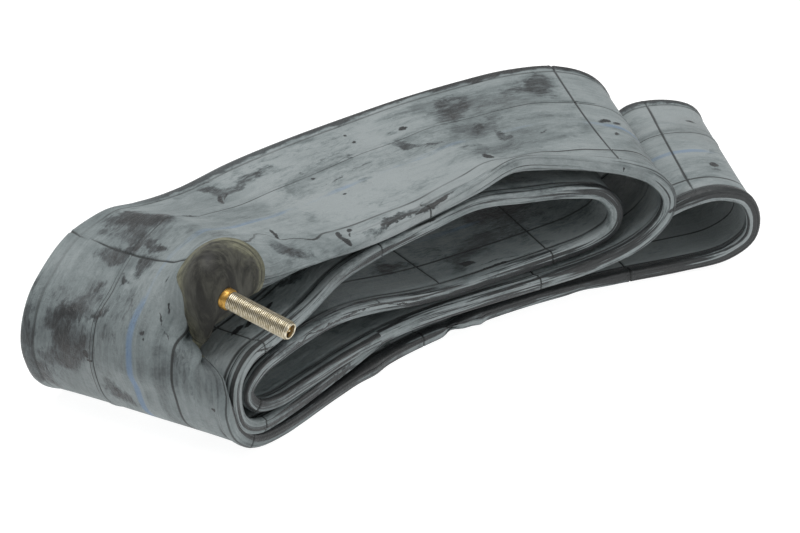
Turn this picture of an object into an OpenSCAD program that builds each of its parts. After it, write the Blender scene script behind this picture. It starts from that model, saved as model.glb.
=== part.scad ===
/* [Inner tube] */
// Inner radius of the flat tube ring, the seat radius of a 26-inch rim
ring_r = 280; // [278:0.5:282]
// Width of the tube when it lies flat and empty
flat_w = 98; // [96:0.5:100]
// Rubber wall thickness
wall = 1; // [0.8:0.1:1.1]
// Half height of the rounded edge bead
bead_h = 3; // [2.8:0.1:3]
// Half height of the flat middle of the belt
mid_h = 2; // [1.8:0.1:2]

/* [Valve] */
// Angle of the valve round the wheel centre, from +Y
valve_a = -28.2; // [-28.6:0.1:-27.8]
// Distance of the patch face from the wheel centre line
valve_r = 289.5; // [289:0.5:290]
// Height of the valve base
valve_z = 70; // [69:0.5:71]
// Heading of the stem in plan
stem_heading = -69; // [-72:1:-66]
// Droop of the stem below the horizontal
stem_droop = 8.5; // [6:0.5:11]
// Free length of the stem above the patch
stem_len = 32; // [30:1:36]
// Major radius of the 8V1 cap thread
thread_r = 3.87; // [3.8:0.01:3.9]
// Pitch of the 8V1 cap thread
thread_p = 0.794; // [0.79:0.001:0.8]
// Depth of the cap thread
thread_d = 0.42; // [0.3:0.02:0.46]
// Radius of the round rubber patch
patch_r = 18; // [16:0.5:18.5]
// Thickness of the patch
patch_t = 2.2; // [1.8:0.1:2.4]
// Radius of the open tube under the patch
nose_r = 16.8; // [16.5:0.1:17.2]

/* [Valve core] */
// Bore radius that takes the core's swivel plug
core_bore_r = 2.66; // [2.64:0.01:2.7]
// Major radius of the 5V1 thread on the plug
plug_r = 2.61; // [2.57:0.01:2.61]
// Pitch of the 5V1 thread
plug_p = 0.7056; // [0.7:0.0001:0.71]
// Outer radius of the core barrel
barrel_r = 1.85; // [1.8:0.01:1.9]
// Radius of the core pin
pin_r = 0.5; // [0.45:0.01:0.55]
// Wire radius of the core spring
wire_r = 0.13; // [0.1:0.01:0.14]
// Working turns of the core spring
spring_turns = 6; // [5:1:7]

/* [Hidden] */

// Shift of the wheel centre that puts the bundle's box over the origin
off = [9.2, -305.6, 0];

// Stations along the belt, once round the tube. Each row is one line across the belt:
// [near angle, near radius, near height, far angle, far height,
//  nose height above, nose height below, nose share]
// Angles are round the wheel centre from +Y. The nose terms open the belt at the valve.
stations = [
    // strand 1, left to right (valve between the first two)
    [-29.4, 293, 67.5, -26.4, 61, 15.8, 13.7, 0.72],
    [-26.9, 291, 69, -24.6, 62.3, 15.1, 13.7, 0.68],
    [-23.4, 281, 69.5, -22, 62.5, 6.5, 5, 0.29],
    [-20, 275.5, 69.5, -19.3, 61, 1.5, 1.5, 0.06],
    [-15.5, 275, 65.5, -15.4, 58.5, 0, 0, 0],
    [-10, 279, 61, -10, 57, 0, 0, 0],
    [-4.5, 280, 61, -4.5, 57, 0, 0, 0],
    [0.5, 280, 65.5, 0, 58, 0, 0, 0],
    [4.8, 280, 71.5, 4.8, 60, 0, 0, 0],
    [8.8, 280, 67.5, 8.8, 61.5, 0, 0, 0],
    [12.6, 279, 62.3, 12.8, 63.4, 0, 0, 0],
    [15.8, 276, 58.3, 16.2, 63.2, 0, 0, 0],
    // loop A
    [18, 273, 53.5, 18.6, 58, 0, 0, 0],
    [19.3, 271, 45.5, 19.8, 48, 0, 0, 0],
    [19.1, 270, 37, 19.8, 36, 0, 0, 0],
    [17.8, 270, 29, 18.9, 25.5, 0, 0, 0],
    [15.4, 270, 22, 16.5, 17.8, 0, 0, 0],
    // strand 4 right to left
    [11.5, 270, 17, 12.5, 15, 0, 0, 0],
    [6, 270, 14.8, 6, 15, 0, 0, 0],
    [-1, 271, 14.8, -1, 15, 0, 0, 0],
    [-8, 273, 15.8, -8, 15, 0, 0, 0],
    [-15, 273, 16.8, -15, 15, 0, 0, 0],
    [-21, 273, 17.5, -21, 15.5, 0, 0, 0],
    [-25.2, 275, 18, -24, 16.5, 0, 0, 0],
    // loop 3-4
    [-27.3, 278, 21, -25.8, 20, 0, 0, 0],
    [-28.1, 279.5, 28, -26.4, 26, 0, 0, 0],
    [-27, 278, 34.5, -25.6, 32, 0, 0, 0],
    // strand 3 left to right
    [-24.2, 275.5, 37.8, -22.8, 35.5, 0, 0, 0],
    [-20, 273.5, 38.8, -19, 36, 0, 0, 0],
    [-16, 274, 36.6, -14, 33, 0, 0, 0],
    [-11.5, 276, 30.5, -10, 29.5, 0, 0, 0],
    [-7, 275.5, 25, -6, 26, 0, 0, 0],
    [-2, 275, 21.8, -1, 23, 0, 0, 0],
    [4, 275, 21.6, 4, 22.5, 0, 0, 0],
    [9, 277, 21.8, 9, 23, 0, 0, 0],
    // loop B
    [12.6, 278, 24.4, 13.2, 27, 0, 0, 0],
    [14.7, 279, 29.8, 15.6, 34, 0, 0, 0],
    [15, 280, 37, 16, 42, 0, 0, 0],
    [13.7, 280, 45.6, 14.6, 48.6, 0, 0, 0],
    // strand 2 right to left
    [10.6, 280, 50.2, 11, 51.5, 0, 0, 0],
    [5.8, 280, 53.5, 5.8, 51.8, 0, 0, 0],
    [0.8, 280, 57, 0.5, 50.8, 0, 0, 0],
    [-5, 280, 54.2, -5, 50, 0, 0, 0],
    [-11, 278, 54.2, -11, 50, 0, 0, 0],
    [-16.5, 275, 54.6, -15.5, 49.5, 0, 0, 0],
    [-20.8, 274.5, 49.5, -19.5, 46.5, 0, 0, 0],
    [-24.8, 276.5, 46, -22.8, 44.5, 0, 0, 0],
    // loop 2-5
    [-28, 279, 43.4, -26.1, 41, 0, 0, 0],
    [-29.5, 280, 37, -27.6, 35.5, 0, 0, 0],
    [-29.8, 280, 27.5, -28.1, 26.5, 0, 0, 0],
    [-29.4, 279, 18.5, -27.6, 17.5, 0, 0, 0],
    [-27.6, 277, 11.8, -25.8, 10.6, 0, 0, 0],
    // strand 5 left to right
    [-23, 274.5, 9.8, -22, 8.8, 0, 0, 0],
    [-15, 276, 9.6, -15, 8.8, 0, 0, 0],
    [-7, 284, 8.6, -7, 8.8, 0, 0, 0],
    [1, 289, 8.4, 1, 8.8, 0, 0, 0],
    [8.5, 289, 8.4, 8.5, 8.8, 0, 0, 0],
    [14, 287, 11, 15, 10.5, 0, 0, 0],
    [17.7, 286, 19, 18.8, 16.5, 0, 0, 0],
    [19.9, 284, 28.5, 21.2, 28, 0, 0, 0],
    [22.3, 281, 35.6, 22.5, 36, 0, 0, 0],
    // loop C
    [25, 280, 38.3, 25, 37, 0, 0, 0],
    [27.3, 280, 34.5, 26.8, 33, 0, 0, 0],
    [28.2, 280, 26, 27.4, 25, 0, 0, 0],
    [28, 280, 16, 27, 14.5, 0, 0, 0],
    [26, 280, 7.8, 25, 6, 0, 0, 0],
    // strand 6 right to left
    [21.8, 280, 3.8, 20.5, 2.2, 0, 0, 0],
    [15, 279, 2.6, 14, 2, 0, 0, 0],
    [7, 278, 2, 7, 2, 0, 0, 0],
    [-1, 277, 2, -1, 2, 0, 0, 0],
    [-9, 276, 2, -9, 2, 0, 0, 0],
    [-17, 274, 2, -17, 2, 0, 0, 0],
    [-23.5, 274.5, 2.4, -22.3, 2, 0, 0, 0],
    // loop 1-6
    [-28.2, 278, 5.2, -26.4, 3.4, 0, 0, 0],
    [-30.5, 279.5, 14.5, -29.3, 12, 0, 0, 0],
    [-31.4, 280, 25.5, -30.3, 24.5, 0.4, 0, 0],
    [-31.7, 280.5, 36.5, -30.4, 36.5, 1, 0, 0],
    [-32, 282, 47.5, -29.8, 48, 3.6, 0, 0.14],
    [-31.5, 286.5, 58.5, -28.2, 56.5, 10.8, 4.3, 0.54]
];
rows_n = len(stations);
// Rows where the belt turns over in a loop get a finer step
function steps(i) = (i == 0) ? 1 :
    ((i >= 11 && i <= 15) || (i >= 23 && i <= 26) || (i >= 34 && i <= 37) ||
     (i >= 46 && i <= 50) || (i >= 58 && i <= 64) || (i >= 72 && i <= 78)) ? 2 : 1;

function polar(r, a, z) = [r * sin(a), r * cos(a), z];
function near_of(s) = polar(s[1] + ring_r - 280, s[0], s[2]);
function far_of(s) = polar(s[1] + flat_w + ring_r - 280, s[3], s[4]);
function unit(v) = v / norm(v);

// Centripetal Catmull-Rom spline through the rows
mids = [for (s = stations) (near_of(s) + far_of(s)) / 2];
gap = [for (i = [0 : rows_n - 1]) sqrt(norm(mids[(i + 1) % rows_n] - mids[i]))];
function mixv(a, b, ta, tb, t) = (tb - t) / (tb - ta) * a + (t - ta) / (tb - ta) * b;
function spline_at(i, f) =
    let (p0 = stations[(i + rows_n - 1) % rows_n], p1 = stations[i],
         p2 = stations[(i + 1) % rows_n], p3 = stations[(i + 2) % rows_n],
         t1 = gap[(i + rows_n - 1) % rows_n], t2 = t1 + gap[i],
         t3 = t2 + gap[(i + 1) % rows_n], t = t1 + (t2 - t1) * f,
         a1 = mixv(p0, p1, 0, t1, t), a2 = mixv(p1, p2, t1, t2, t), a3 = mixv(p2, p3, t2, t3, t),
         b1 = mixv(a1, a2, 0, t2, t), b2 = mixv(a2, a3, t1, t3, t))
    mixv(b1, b2, t1, t2, t);
belt = [for (i = [0 : rows_n - 1]) for (j = [0 : steps(i) - 1]) spline_at(i, j / steps(i))];
belt_n = len(belt);
near_p = [for (s = belt) near_of(s)];
across = [for (s = belt) unit(far_of(s) - near_of(s))];
mid_p = [for (i = [0 : belt_n - 1]) near_p[i] + across[i] * flat_w / 2];
function normal_at(i) =
    let (w = across[i], t = mid_p[(i + 1) % belt_n] - mid_p[(i + belt_n - 1) % belt_n])
    -unit(cross(w, t - w * (w * t)));
lift = [for (i = [0 : belt_n - 1]) normal_at(i)];

// Half section from the near edge to the far edge: position, half height, and how far the
// nose opens there. The inner list is the same section one wall thickness further in.
sec_u = [0, 0.8, 3, 10, 40, 88, 95, 98];
sec_h = [0, bead_h * 0.6, bead_h, mid_h * 1.1, mid_h, mid_h * 1.1, bead_h, 0];
sec_n = [0, 0.35, 0.82, 1, 0.6, 0.06, 0, 0];
sec_k = [0, 0.4, 7, 14, 0, -8, -9, -9];
in_u = [1.1, 1.5, 3.2, 10, 40, 88, 94.6, 96.8];
function in_h(k) = (k == 0 || k == 7) ? 0 : (k == 2 || k == 6) ? sec_h[k] - wall - 0.1 : sec_h[k] - wall * 0.95;
pairs = 6;
ring_n = 2 * pairs + 2;
function half_k(k) = k <= pairs + 1 ? k : ring_n - k;
function side_s(k) = (k == 0 || k == pairs + 1) ? 0 : k <= pairs ? 1 : -1;
function ring_pt(i, k, inner) =
    let (h = half_k(k), s = side_s(k), b = belt[i], o = b[7],
         u = (inner ? in_u[h] : sec_u[h]) * flat_w / 98 + sec_k[h] * o,
         base = inner ? in_h(h) : sec_h[h],
         v = s > 0 ? base + sec_n[h] * b[5] : s < 0 ? -base - sec_n[h] * b[6] : 0,
         p = near_p[i] + across[i] * u + lift[i] * v)
    [p[0], p[1], max(p[2], inner ? wall : 0)];

shell_pts = [for (inner = [false, true]) for (i = [0 : belt_n - 1]) for (k = [0 : ring_n - 1])
             ring_pt(i, k, inner)];
function vid(i, k, inner) = (inner ? belt_n * ring_n : 0) + (i % belt_n) * ring_n + (k % ring_n);
function in_hole(i, k) = i == 0 && (k == 0 || k == ring_n - 1);
// The opening under the valve foot joins the outer and the inner skin
function hole_wall(a, b) = [[vid(a[0], a[1], false), vid(b[0], b[1], true), vid(b[0], b[1], false)],
                            [vid(a[0], a[1], false), vid(a[0], a[1], true), vid(b[0], b[1], true)]];
hole_edges = [[[1, 0], [1, 1]], [[1, 1], [0, 1]], [[0, 1], [0, 0]],
              [[0, ring_n - 1], [1, ring_n - 1]], [[1, ring_n - 1], [1, 0]], [[0, 0], [0, ring_n - 1]]];
shell_faces = [
    for (i = [0 : belt_n - 1]) for (k = [0 : ring_n - 1]) if (!in_hole(i, k)) each
        [[vid(i, k, false), vid(i + 1, k + 1, false), vid(i + 1, k, false)],
         [vid(i, k, false), vid(i, k + 1, false), vid(i + 1, k + 1, false)],
         [vid(i, k, true), vid(i + 1, k, true), vid(i + 1, k + 1, true)],
         [vid(i, k, true), vid(i + 1, k + 1, true), vid(i, k + 1, true)]],
    for (e = hole_edges) each hole_wall(e[0], e[1])];

// Valve frame: +Z runs along the stem, out of the patch
module at_valve() {
    translate(off) translate(polar(valve_r, valve_a, valve_z))
        rotate([0, 90 + stem_droop, stem_heading]) children();
}

// Ring-grooved thread outline between two heights, as [r, z] points
function groove_pts(r, d, p, z0, n) = [for (i = [0 : n - 1]) each
    [[r, z0 + i * p], [r, z0 + (i + 0.36) * p], [r - d, z0 + (i + 0.64) * p], [r - d, z0 + (i + 0.72) * p]]];

tip = stem_len;
grooves = floor((tip - 5.2) / thread_p);
plug_grooves = 5;

// Folded, deflated butyl tube: one hollow belt, opened only under the valve foot
module inner_tube() {
    color([0.46, 0.5, 0.51]) translate(off)
        polyhedron(points = shell_pts, faces = shell_faces, convexity = 20);
}

// Round patch wrapped over the open nose of the tube, with the neck through the wall
module nose_cylinder(r) {
    translate([0, 0, -nose_r - patch_t]) rotate([90, 0, 0]) cylinder(r = r, h = 80, center = true, $fn = 96);
}
module valve_patch() {
    color([0.2, 0.2, 0.18]) at_valve() difference() {
        union() {
            intersection() {
                difference() {
                    nose_cylinder(nose_r + patch_t);
                    nose_cylinder(nose_r);
                }
                translate([0, 0, -24]) cylinder(r = patch_r, h = 30, $fn = 96);
            }
            translate([0, 0, -4.7]) cylinder(r = 5.4, h = 3.7, $fn = 48);
        }
        translate([0, 0, -30]) cylinder(r = 3.65, h = 40, $fn = 48);
    }
}

// Brass valve stem: foot, neck, plain collar, cap thread and stepped core bore
module valve_stem() {
    color([0.72, 0.68, 0.55]) at_valve() rotate_extrude($fn = 64) polygon(concat(
        [[2.3, -6.2], [8.5, -6.2], [8.5, -5.2], [5, -4.7], [3.6, -4.7], [3.6, 0], [4.3, 0], [4.3, 4.2],
         [thread_r - thread_d, 4.5]],
        groove_pts(thread_r, thread_d, thread_p, 4.9, grooves),
        [[thread_r - thread_d, tip - 0.2], [thread_r - thread_d - 0.2, tip], [2.95, tip],
         [core_bore_r, tip - 0.5], [core_bore_r, tip - 9.4], [2.3, tip - 11.4]]));
}

// Threaded swivel plug that screws the core down, with its driving tongue
module core_plug() {
    color([0.8, 0.66, 0.36]) at_valve() difference() {
        rotate_extrude($fn = 48) polygon(concat(
            [[pin_r + 0.1, tip - 7.2], [plug_r - 0.3, tip - 7.2]],
            groove_pts(plug_r, 0.3, plug_p, tip - 7, plug_grooves),
            [[plug_r - 0.35, tip - 3.3], [plug_r - 0.35, tip - 1.6], [pin_r + 0.1, tip - 1.6]]));
        for (s = [-1, 1]) translate([s * 3.2 - 1.8, -3, tip - 3.3]) cube([3.6, 6, 2]);
    }
}

// Core barrel with its bottom seat for the spring
module core_barrel() {
    color([0.78, 0.64, 0.34]) at_valve() rotate_extrude($fn = 48) polygon([
        [pin_r + 0.15, tip - 18], [barrel_r, tip - 18], [barrel_r, tip - 11.4], [barrel_r, tip - 9.3],
        [2.3, tip - 9.3], [2.3, tip - 7.3], [1.25, tip - 7.3], [1.25, tip - 16.9], [pin_r + 0.15, tip - 16.9]]);
}

// Conical ring that seals the barrel in the stem's taper
module barrel_gasket() {
    color([0.6, 0.12, 0.1]) at_valve() rotate_extrude($fn = 48) polygon([
        [barrel_r, tip - 11.3], [2.24, tip - 11.3], [2.58, tip - 9.5], [2.5, tip - 9.3], [barrel_r, tip - 9.3]]);
}

// Pin that opens the core, with the shoulder that the spring pushes on
module core_pin() {
    color([0.82, 0.76, 0.55]) at_valve() rotate_extrude($fn = 32) polygon([
        [0, tip - 19.6], [pin_r, tip - 19.6], [pin_r, tip - 9], [1.1, tip - 8.9], [1.1, tip - 8.4],
        [pin_r, tip - 8.3], [pin_r, tip - 0.9], [pin_r - 0.2, tip - 0.6], [0, tip - 0.6]]);
}

// Cup at the foot of the pin that carries the seal
module poppet_cup() {
    color([0.78, 0.64, 0.34]) at_valve() rotate_extrude($fn = 48) polygon([
        [pin_r, tip - 19.4], [1.3, tip - 19.4], [1.7, tip - 18.8], [1.7, tip - 18.35], [1.5, tip - 18.35],
        [1.5, tip - 18.7], [pin_r, tip - 18.7]]);
}

// Rubber washer that closes on the foot of the barrel
module poppet_seal() {
    color([0.12, 0.12, 0.12]) at_valve() rotate_extrude($fn = 48) polygon([
        [pin_r, tip - 18.7], [1.48, tip - 18.7], [1.48, tip - 18.04], [pin_r, tip - 18.04]]);
}

// Coil spring inside the barrel, from the barrel seat to the pin's shoulder
coil_r = 0.88;
coil_lo = tip - 16.9 + wire_r + 0.04;
coil_hi = tip - 9 - wire_r - 0.04;
coil_m = 10 * spring_turns;
function coil_pt(i, k) =
    let (a = 36 * i, f = i / coil_m, z = coil_lo + (coil_hi - coil_lo) * f,
         r = coil_r + wire_r * cos(60 * k))
    [r * cos(a), r * sin(a), z + wire_r * sin(60 * k)];
module core_spring() {
    color([0.75, 0.76, 0.78]) at_valve() polyhedron(
        points = [for (i = [0 : coil_m]) for (k = [0 : 5]) coil_pt(i, k)],
        faces = concat(
            [for (i = [0 : coil_m - 1]) for (k = [0 : 5]) each
                [[i * 6 + k, (i + 1) * 6 + (k + 1) % 6, (i + 1) * 6 + k],
                 [i * 6 + k, i * 6 + (k + 1) % 6, (i + 1) * 6 + (k + 1) % 6]]],
            [[for (k = [5 : -1 : 0]) k]], [[for (k = [0 : 5]) coil_m * 6 + k]]),
        convexity = 10);
}

inner_tube();
valve_patch();
valve_stem();
core_plug();
core_barrel();
barrel_gasket();
core_pin();
poppet_cup();
poppet_seal();
core_spring();
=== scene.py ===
import math

import bmesh
import bpy
import numpy as np
from mathutils import Matrix, Vector
from mathutils.bvhtree import BVHTree


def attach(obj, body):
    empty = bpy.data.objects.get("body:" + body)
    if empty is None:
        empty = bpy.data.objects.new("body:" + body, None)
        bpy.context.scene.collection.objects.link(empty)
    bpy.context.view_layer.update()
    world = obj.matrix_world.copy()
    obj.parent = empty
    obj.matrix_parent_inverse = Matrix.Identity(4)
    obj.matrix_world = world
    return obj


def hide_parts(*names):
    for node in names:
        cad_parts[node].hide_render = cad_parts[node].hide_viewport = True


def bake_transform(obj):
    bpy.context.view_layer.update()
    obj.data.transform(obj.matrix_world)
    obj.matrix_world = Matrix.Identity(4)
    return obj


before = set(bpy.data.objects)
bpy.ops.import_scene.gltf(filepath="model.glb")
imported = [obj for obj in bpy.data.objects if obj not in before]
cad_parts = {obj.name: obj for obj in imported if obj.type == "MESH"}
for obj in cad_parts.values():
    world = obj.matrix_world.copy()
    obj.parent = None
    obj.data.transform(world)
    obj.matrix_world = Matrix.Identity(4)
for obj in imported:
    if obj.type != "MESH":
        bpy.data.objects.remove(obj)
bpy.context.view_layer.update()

# ---------------------------------------------------------------- belt geometry (plain numpy, millimetres)
OFF = np.array([9.2, -305.6, 0.0])
RING, WIDE = 280.0, 98.0

# One row per line across the flat tube, once round it: near angle, near radius, near height, far angle,
# far height.
ROWS = np.array([
    [-28.3, 290, 67, -24.8, 62.5], [-25.8, 290, 70, -22.6, 63.5],
    [-22.9, 284, 67, -20.9, 63], [-20, 276, 68.5, -18.9, 62],
    [-15.5, 275, 65.3, -15.3, 59], [-10, 279, 61, -10, 57],
    [-4.5, 280, 61, -4.5, 57], [0.5, 280, 65.5, 0, 58],
    [4.8, 280, 71.5, 4.8, 60], [8.8, 280, 67.5, 8.8, 61.5],
    [12.6, 279, 62.3, 12.8, 63.4], [15.8, 276, 58.3, 16.2, 63.2],
    # loop A (12)
    [18, 273, 53.5, 18.6, 58], [19.3, 271, 45.5, 19.8, 48],
    [19.1, 270, 37, 19.8, 36], [17.8, 270, 29, 18.9, 25.5],
    [15.4, 270, 22, 16.5, 17.8],
    # strand 4 (17)
    [11.5, 270, 17, 12.5, 15], [6, 270, 14.8, 6, 15], [-1, 271, 14.8, -1, 15],
    [-8, 273, 15.8, -8, 15], [-15, 273, 16.8, -15, 15], [-21, 273, 17.5, -21, 15.5],
    [-25.2, 275, 18, -24, 16.5],
    # loop 3-4 (24)
    [-27.3, 278, 21, -25.8, 20], [-28.1, 279.5, 28, -26.4, 26], [-27, 278, 34.5, -25.6, 32],
    # strand 3 (27)
    [-24.2, 275.5, 37.8, -22.8, 35.5], [-20, 273.5, 38.8, -19, 36],
    [-16, 274, 36.6, -14, 33], [-11.5, 276, 30.5, -10, 29.5],
    [-7, 275.5, 25, -6, 26], [-2, 275, 21.8, -1, 23], [4, 275, 21.6, 4, 22.5],
    [9, 277, 21.8, 9, 23],
    # loop B (35)
    [12.6, 278, 24.4, 13.2, 27], [14.7, 279, 29.8, 15.6, 34], [15, 280, 37, 16, 42],
    [13.7, 280, 45.6, 14.6, 48.6],
    # strand 2 (39)
    [10.6, 280, 50.2, 11, 51.5], [5.8, 280, 53.5, 5.8, 51.8], [0.8, 280, 57, 0.5, 50.8],
    [-5, 280, 54.2, -5, 50], [-11, 278, 54.2, -11, 50], [-16.5, 275, 54.6, -15.5, 49.5],
    [-20.8, 274.5, 49.5, -19.5, 46.5], [-24.8, 276.5, 46, -22.8, 44.5],
    # loop 2-5 (47)
    [-28, 279, 43.4, -26.1, 41], [-29.5, 280, 37, -27.6, 35.5],
    [-29.8, 280, 27.5, -28.1, 26.5], [-29.4, 279, 18.5, -27.6, 17.5],
    [-27.6, 277, 11.8, -25.8, 10.6],
    # strand 5 (52)
    [-23, 274.5, 9.8, -22, 8.8], [-15, 276, 9.6, -15, 8.8], [-7, 284, 8.6, -7, 8.8],
    [1, 289, 8.4, 1, 8.8], [8.5, 289, 8.4, 8.5, 8.8], [14, 287, 11, 15, 10.5],
    [17.7, 286, 19, 18.8, 16.5], [19.9, 284, 28.5, 21.2, 28], [22.3, 281, 35.6, 22.5, 36],
    # loop C (61)
    [25, 280, 38.3, 25, 37], [27.3, 280, 34.5, 26.8, 33], [28.2, 280, 26, 27.4, 25],
    [28, 280, 16, 27, 14.5], [26, 280, 7.8, 25, 6],
    # strand 6 (66)
    [21.8, 280, 3.8, 20.5, 2.2], [15, 279, 2.6, 14, 2], [7, 278, 2, 7, 2],
    [-1, 277, 2, -1, 2], [-9, 276, 2, -9, 2], [-17, 274, 2, -17, 2],
    [-23.5, 274.5, 2.4, -22.3, 2],
    # loop 1-6 (73)
    [-27.8, 278, 5.6, -27, 4.2], [-30.1, 279.5, 15.5, -29.2, 13.5],
    [-31, 280, 26, -30.2, 27], [-31.3, 281, 37, -30.2, 39],
    [-31.1, 283, 48.5, -29.2, 50.5], [-30, 286.5, 59, -27.2, 58],
], float)
NROWS = len(ROWS)


def polar(r, a, z):
    a = np.radians(a)
    return np.stack([r * np.sin(a), r * np.cos(a), z + 0 * r], -1)


def near_far(S):
    return polar(S[:, 1], S[:, 0], S[:, 2]), polar(S[:, 1] + WIDE, S[:, 3], S[:, 4])


def along(t, table):
    """A value that varies round the belt: table is (row, value) pairs, eased between them."""
    k = np.array([p[0] for p in table], float)
    v = np.array([p[1] for p in table], float)
    i = np.clip(np.searchsorted(k, t, "right") - 1, 0, len(k) - 2)
    f = np.clip((t - k[i]) / (k[i + 1] - k[i]), 0, 1)
    f = f * f * (3 - 2 * f)
    return v[i] * (1 - f) + v[i + 1] * f


_n0, _f0 = near_far(ROWS)
_gap = np.sqrt(np.linalg.norm(np.roll(_n0 + _f0, -1, 0) - (_n0 + _f0), axis=1) / 2)


def rows_at(t):
    """Centripetal Catmull-Rom through ROWS at the row numbers t."""
    i = np.floor(t).astype(int) % NROWS
    f = (t - np.floor(t))[:, None]
    p = [ROWS[(i + k - 1) % NROWS] for k in range(4)]
    t1 = _gap[(i - 1) % NROWS][:, None]
    t2 = t1 + _gap[i][:, None]
    t3 = t2 + _gap[(i + 1) % NROWS][:, None]
    x = t1 + (t2 - t1) * f
    a1 = (t1 - x) / t1 * p[0] + x / t1 * p[1]
    a2 = (t2 - x) / (t2 - t1) * p[1] + (x - t1) / (t2 - t1) * p[2]
    a3 = (t3 - x) / (t3 - t2) * p[2] + (x - t2) / (t3 - t2) * p[3]
    b1 = (t2 - x) / t2 * a1 + x / t2 * a2
    b2 = (t3 - x) / (t3 - t1) * a2 + (x - t1) / (t3 - t1) * a3
    return (t2 - x) / (t2 - t1) * b1 + (x - t1) / (t2 - t1) * b2


def frames_at(t):
    S = rows_at(t)
    n, f = near_far(S)
    w = f - n
    w /= np.linalg.norm(w, axis=1)[:, None]

    def mid(tt):
        a, b = near_far(rows_at(tt))
        d = b - a
        return a + d / np.linalg.norm(d, axis=1)[:, None] * WIDE / 2
    g = mid(t + 0.04) - mid(t - 0.04)
    g -= w * (g * w).sum(1)[:, None]
    g /= np.linalg.norm(g, axis=1)[:, None]
    return S, n, w, g, -np.cross(w, g)


# Arc length at the middle of the belt against row number
_tt = np.linspace(0, NROWS, NROWS * 40 + 1)
_S, _n, _w, _g, _l = frames_at(_tt)
_m = _n + _w * WIDE / 2
ARC = np.concatenate([[0], np.cumsum(np.linalg.norm(np.diff(_m, axis=0), axis=1))])
LENGTH = ARC[-1]


def arc_of(t):
    return np.interp(np.asarray(t, float) % NROWS, _tt, ARC)


def row_of(s):
    return np.interp(np.asarray(s, float) % LENGTH, ARC, _tt)
# Half section from the near edge to the far edge: distance across the belt and half thickness
HALF = np.array([
    [0, 0], [0, .8], [.06, 1.25], [.38, 1.5], [.14, 1.78], [.4, 2.35], [.95, 2.8], [1.8, 3.1], [2.9, 3.15],
    [4.1, 2.95], [5.1, 2.6], [5.85, 2.2], [6.25, 1.8], [6.5, 1.6], [6.8, 1.85], [7.4, 2.2], [8.8, 2.32],
    [11.5, 2.25], [13.2, 2.2], [14.6, 2.17], [16.3, 2.15], [18.6, 2.1], [20.6, 2.08], [22, 2.07], [23.5, 2.07],
    [25, 2.07], [27.2, 2.05], [29.6, 2.05], [32, 2.05], [34.5, 2.05], [37.7, 2.05], [41, 2.05], [48, 2.05], [55, 2.05],
    [60, 2.05], [62.1, 2.0], [62.5, 2.4], [62.95, 2.4], [63.4, 2.0], [66.5, 2.06], [72, 2.08], [78, 2.12],
    [83.5, 2.18], [88, 2.26], [90.4, 2.3], [91.2, 1.95], [92.1, 2.45], [93.8, 2.88], [95.4, 2.95], [96.8, 2.5],
    [97.6, 1.75], [97.95, .9], [98, 0]], float)
NH = len(HALF)
NRING = 2 * NH - 2
U_RING = np.concatenate([HALF[:, 0], HALF[-2:0:-1, 0]])
H_RING = np.concatenate([HALF[:, 1], HALF[-2:0:-1, 1]])
SIDE = np.concatenate([[0], np.ones(NH - 2), [0], -np.ones(NH - 2)])

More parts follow.
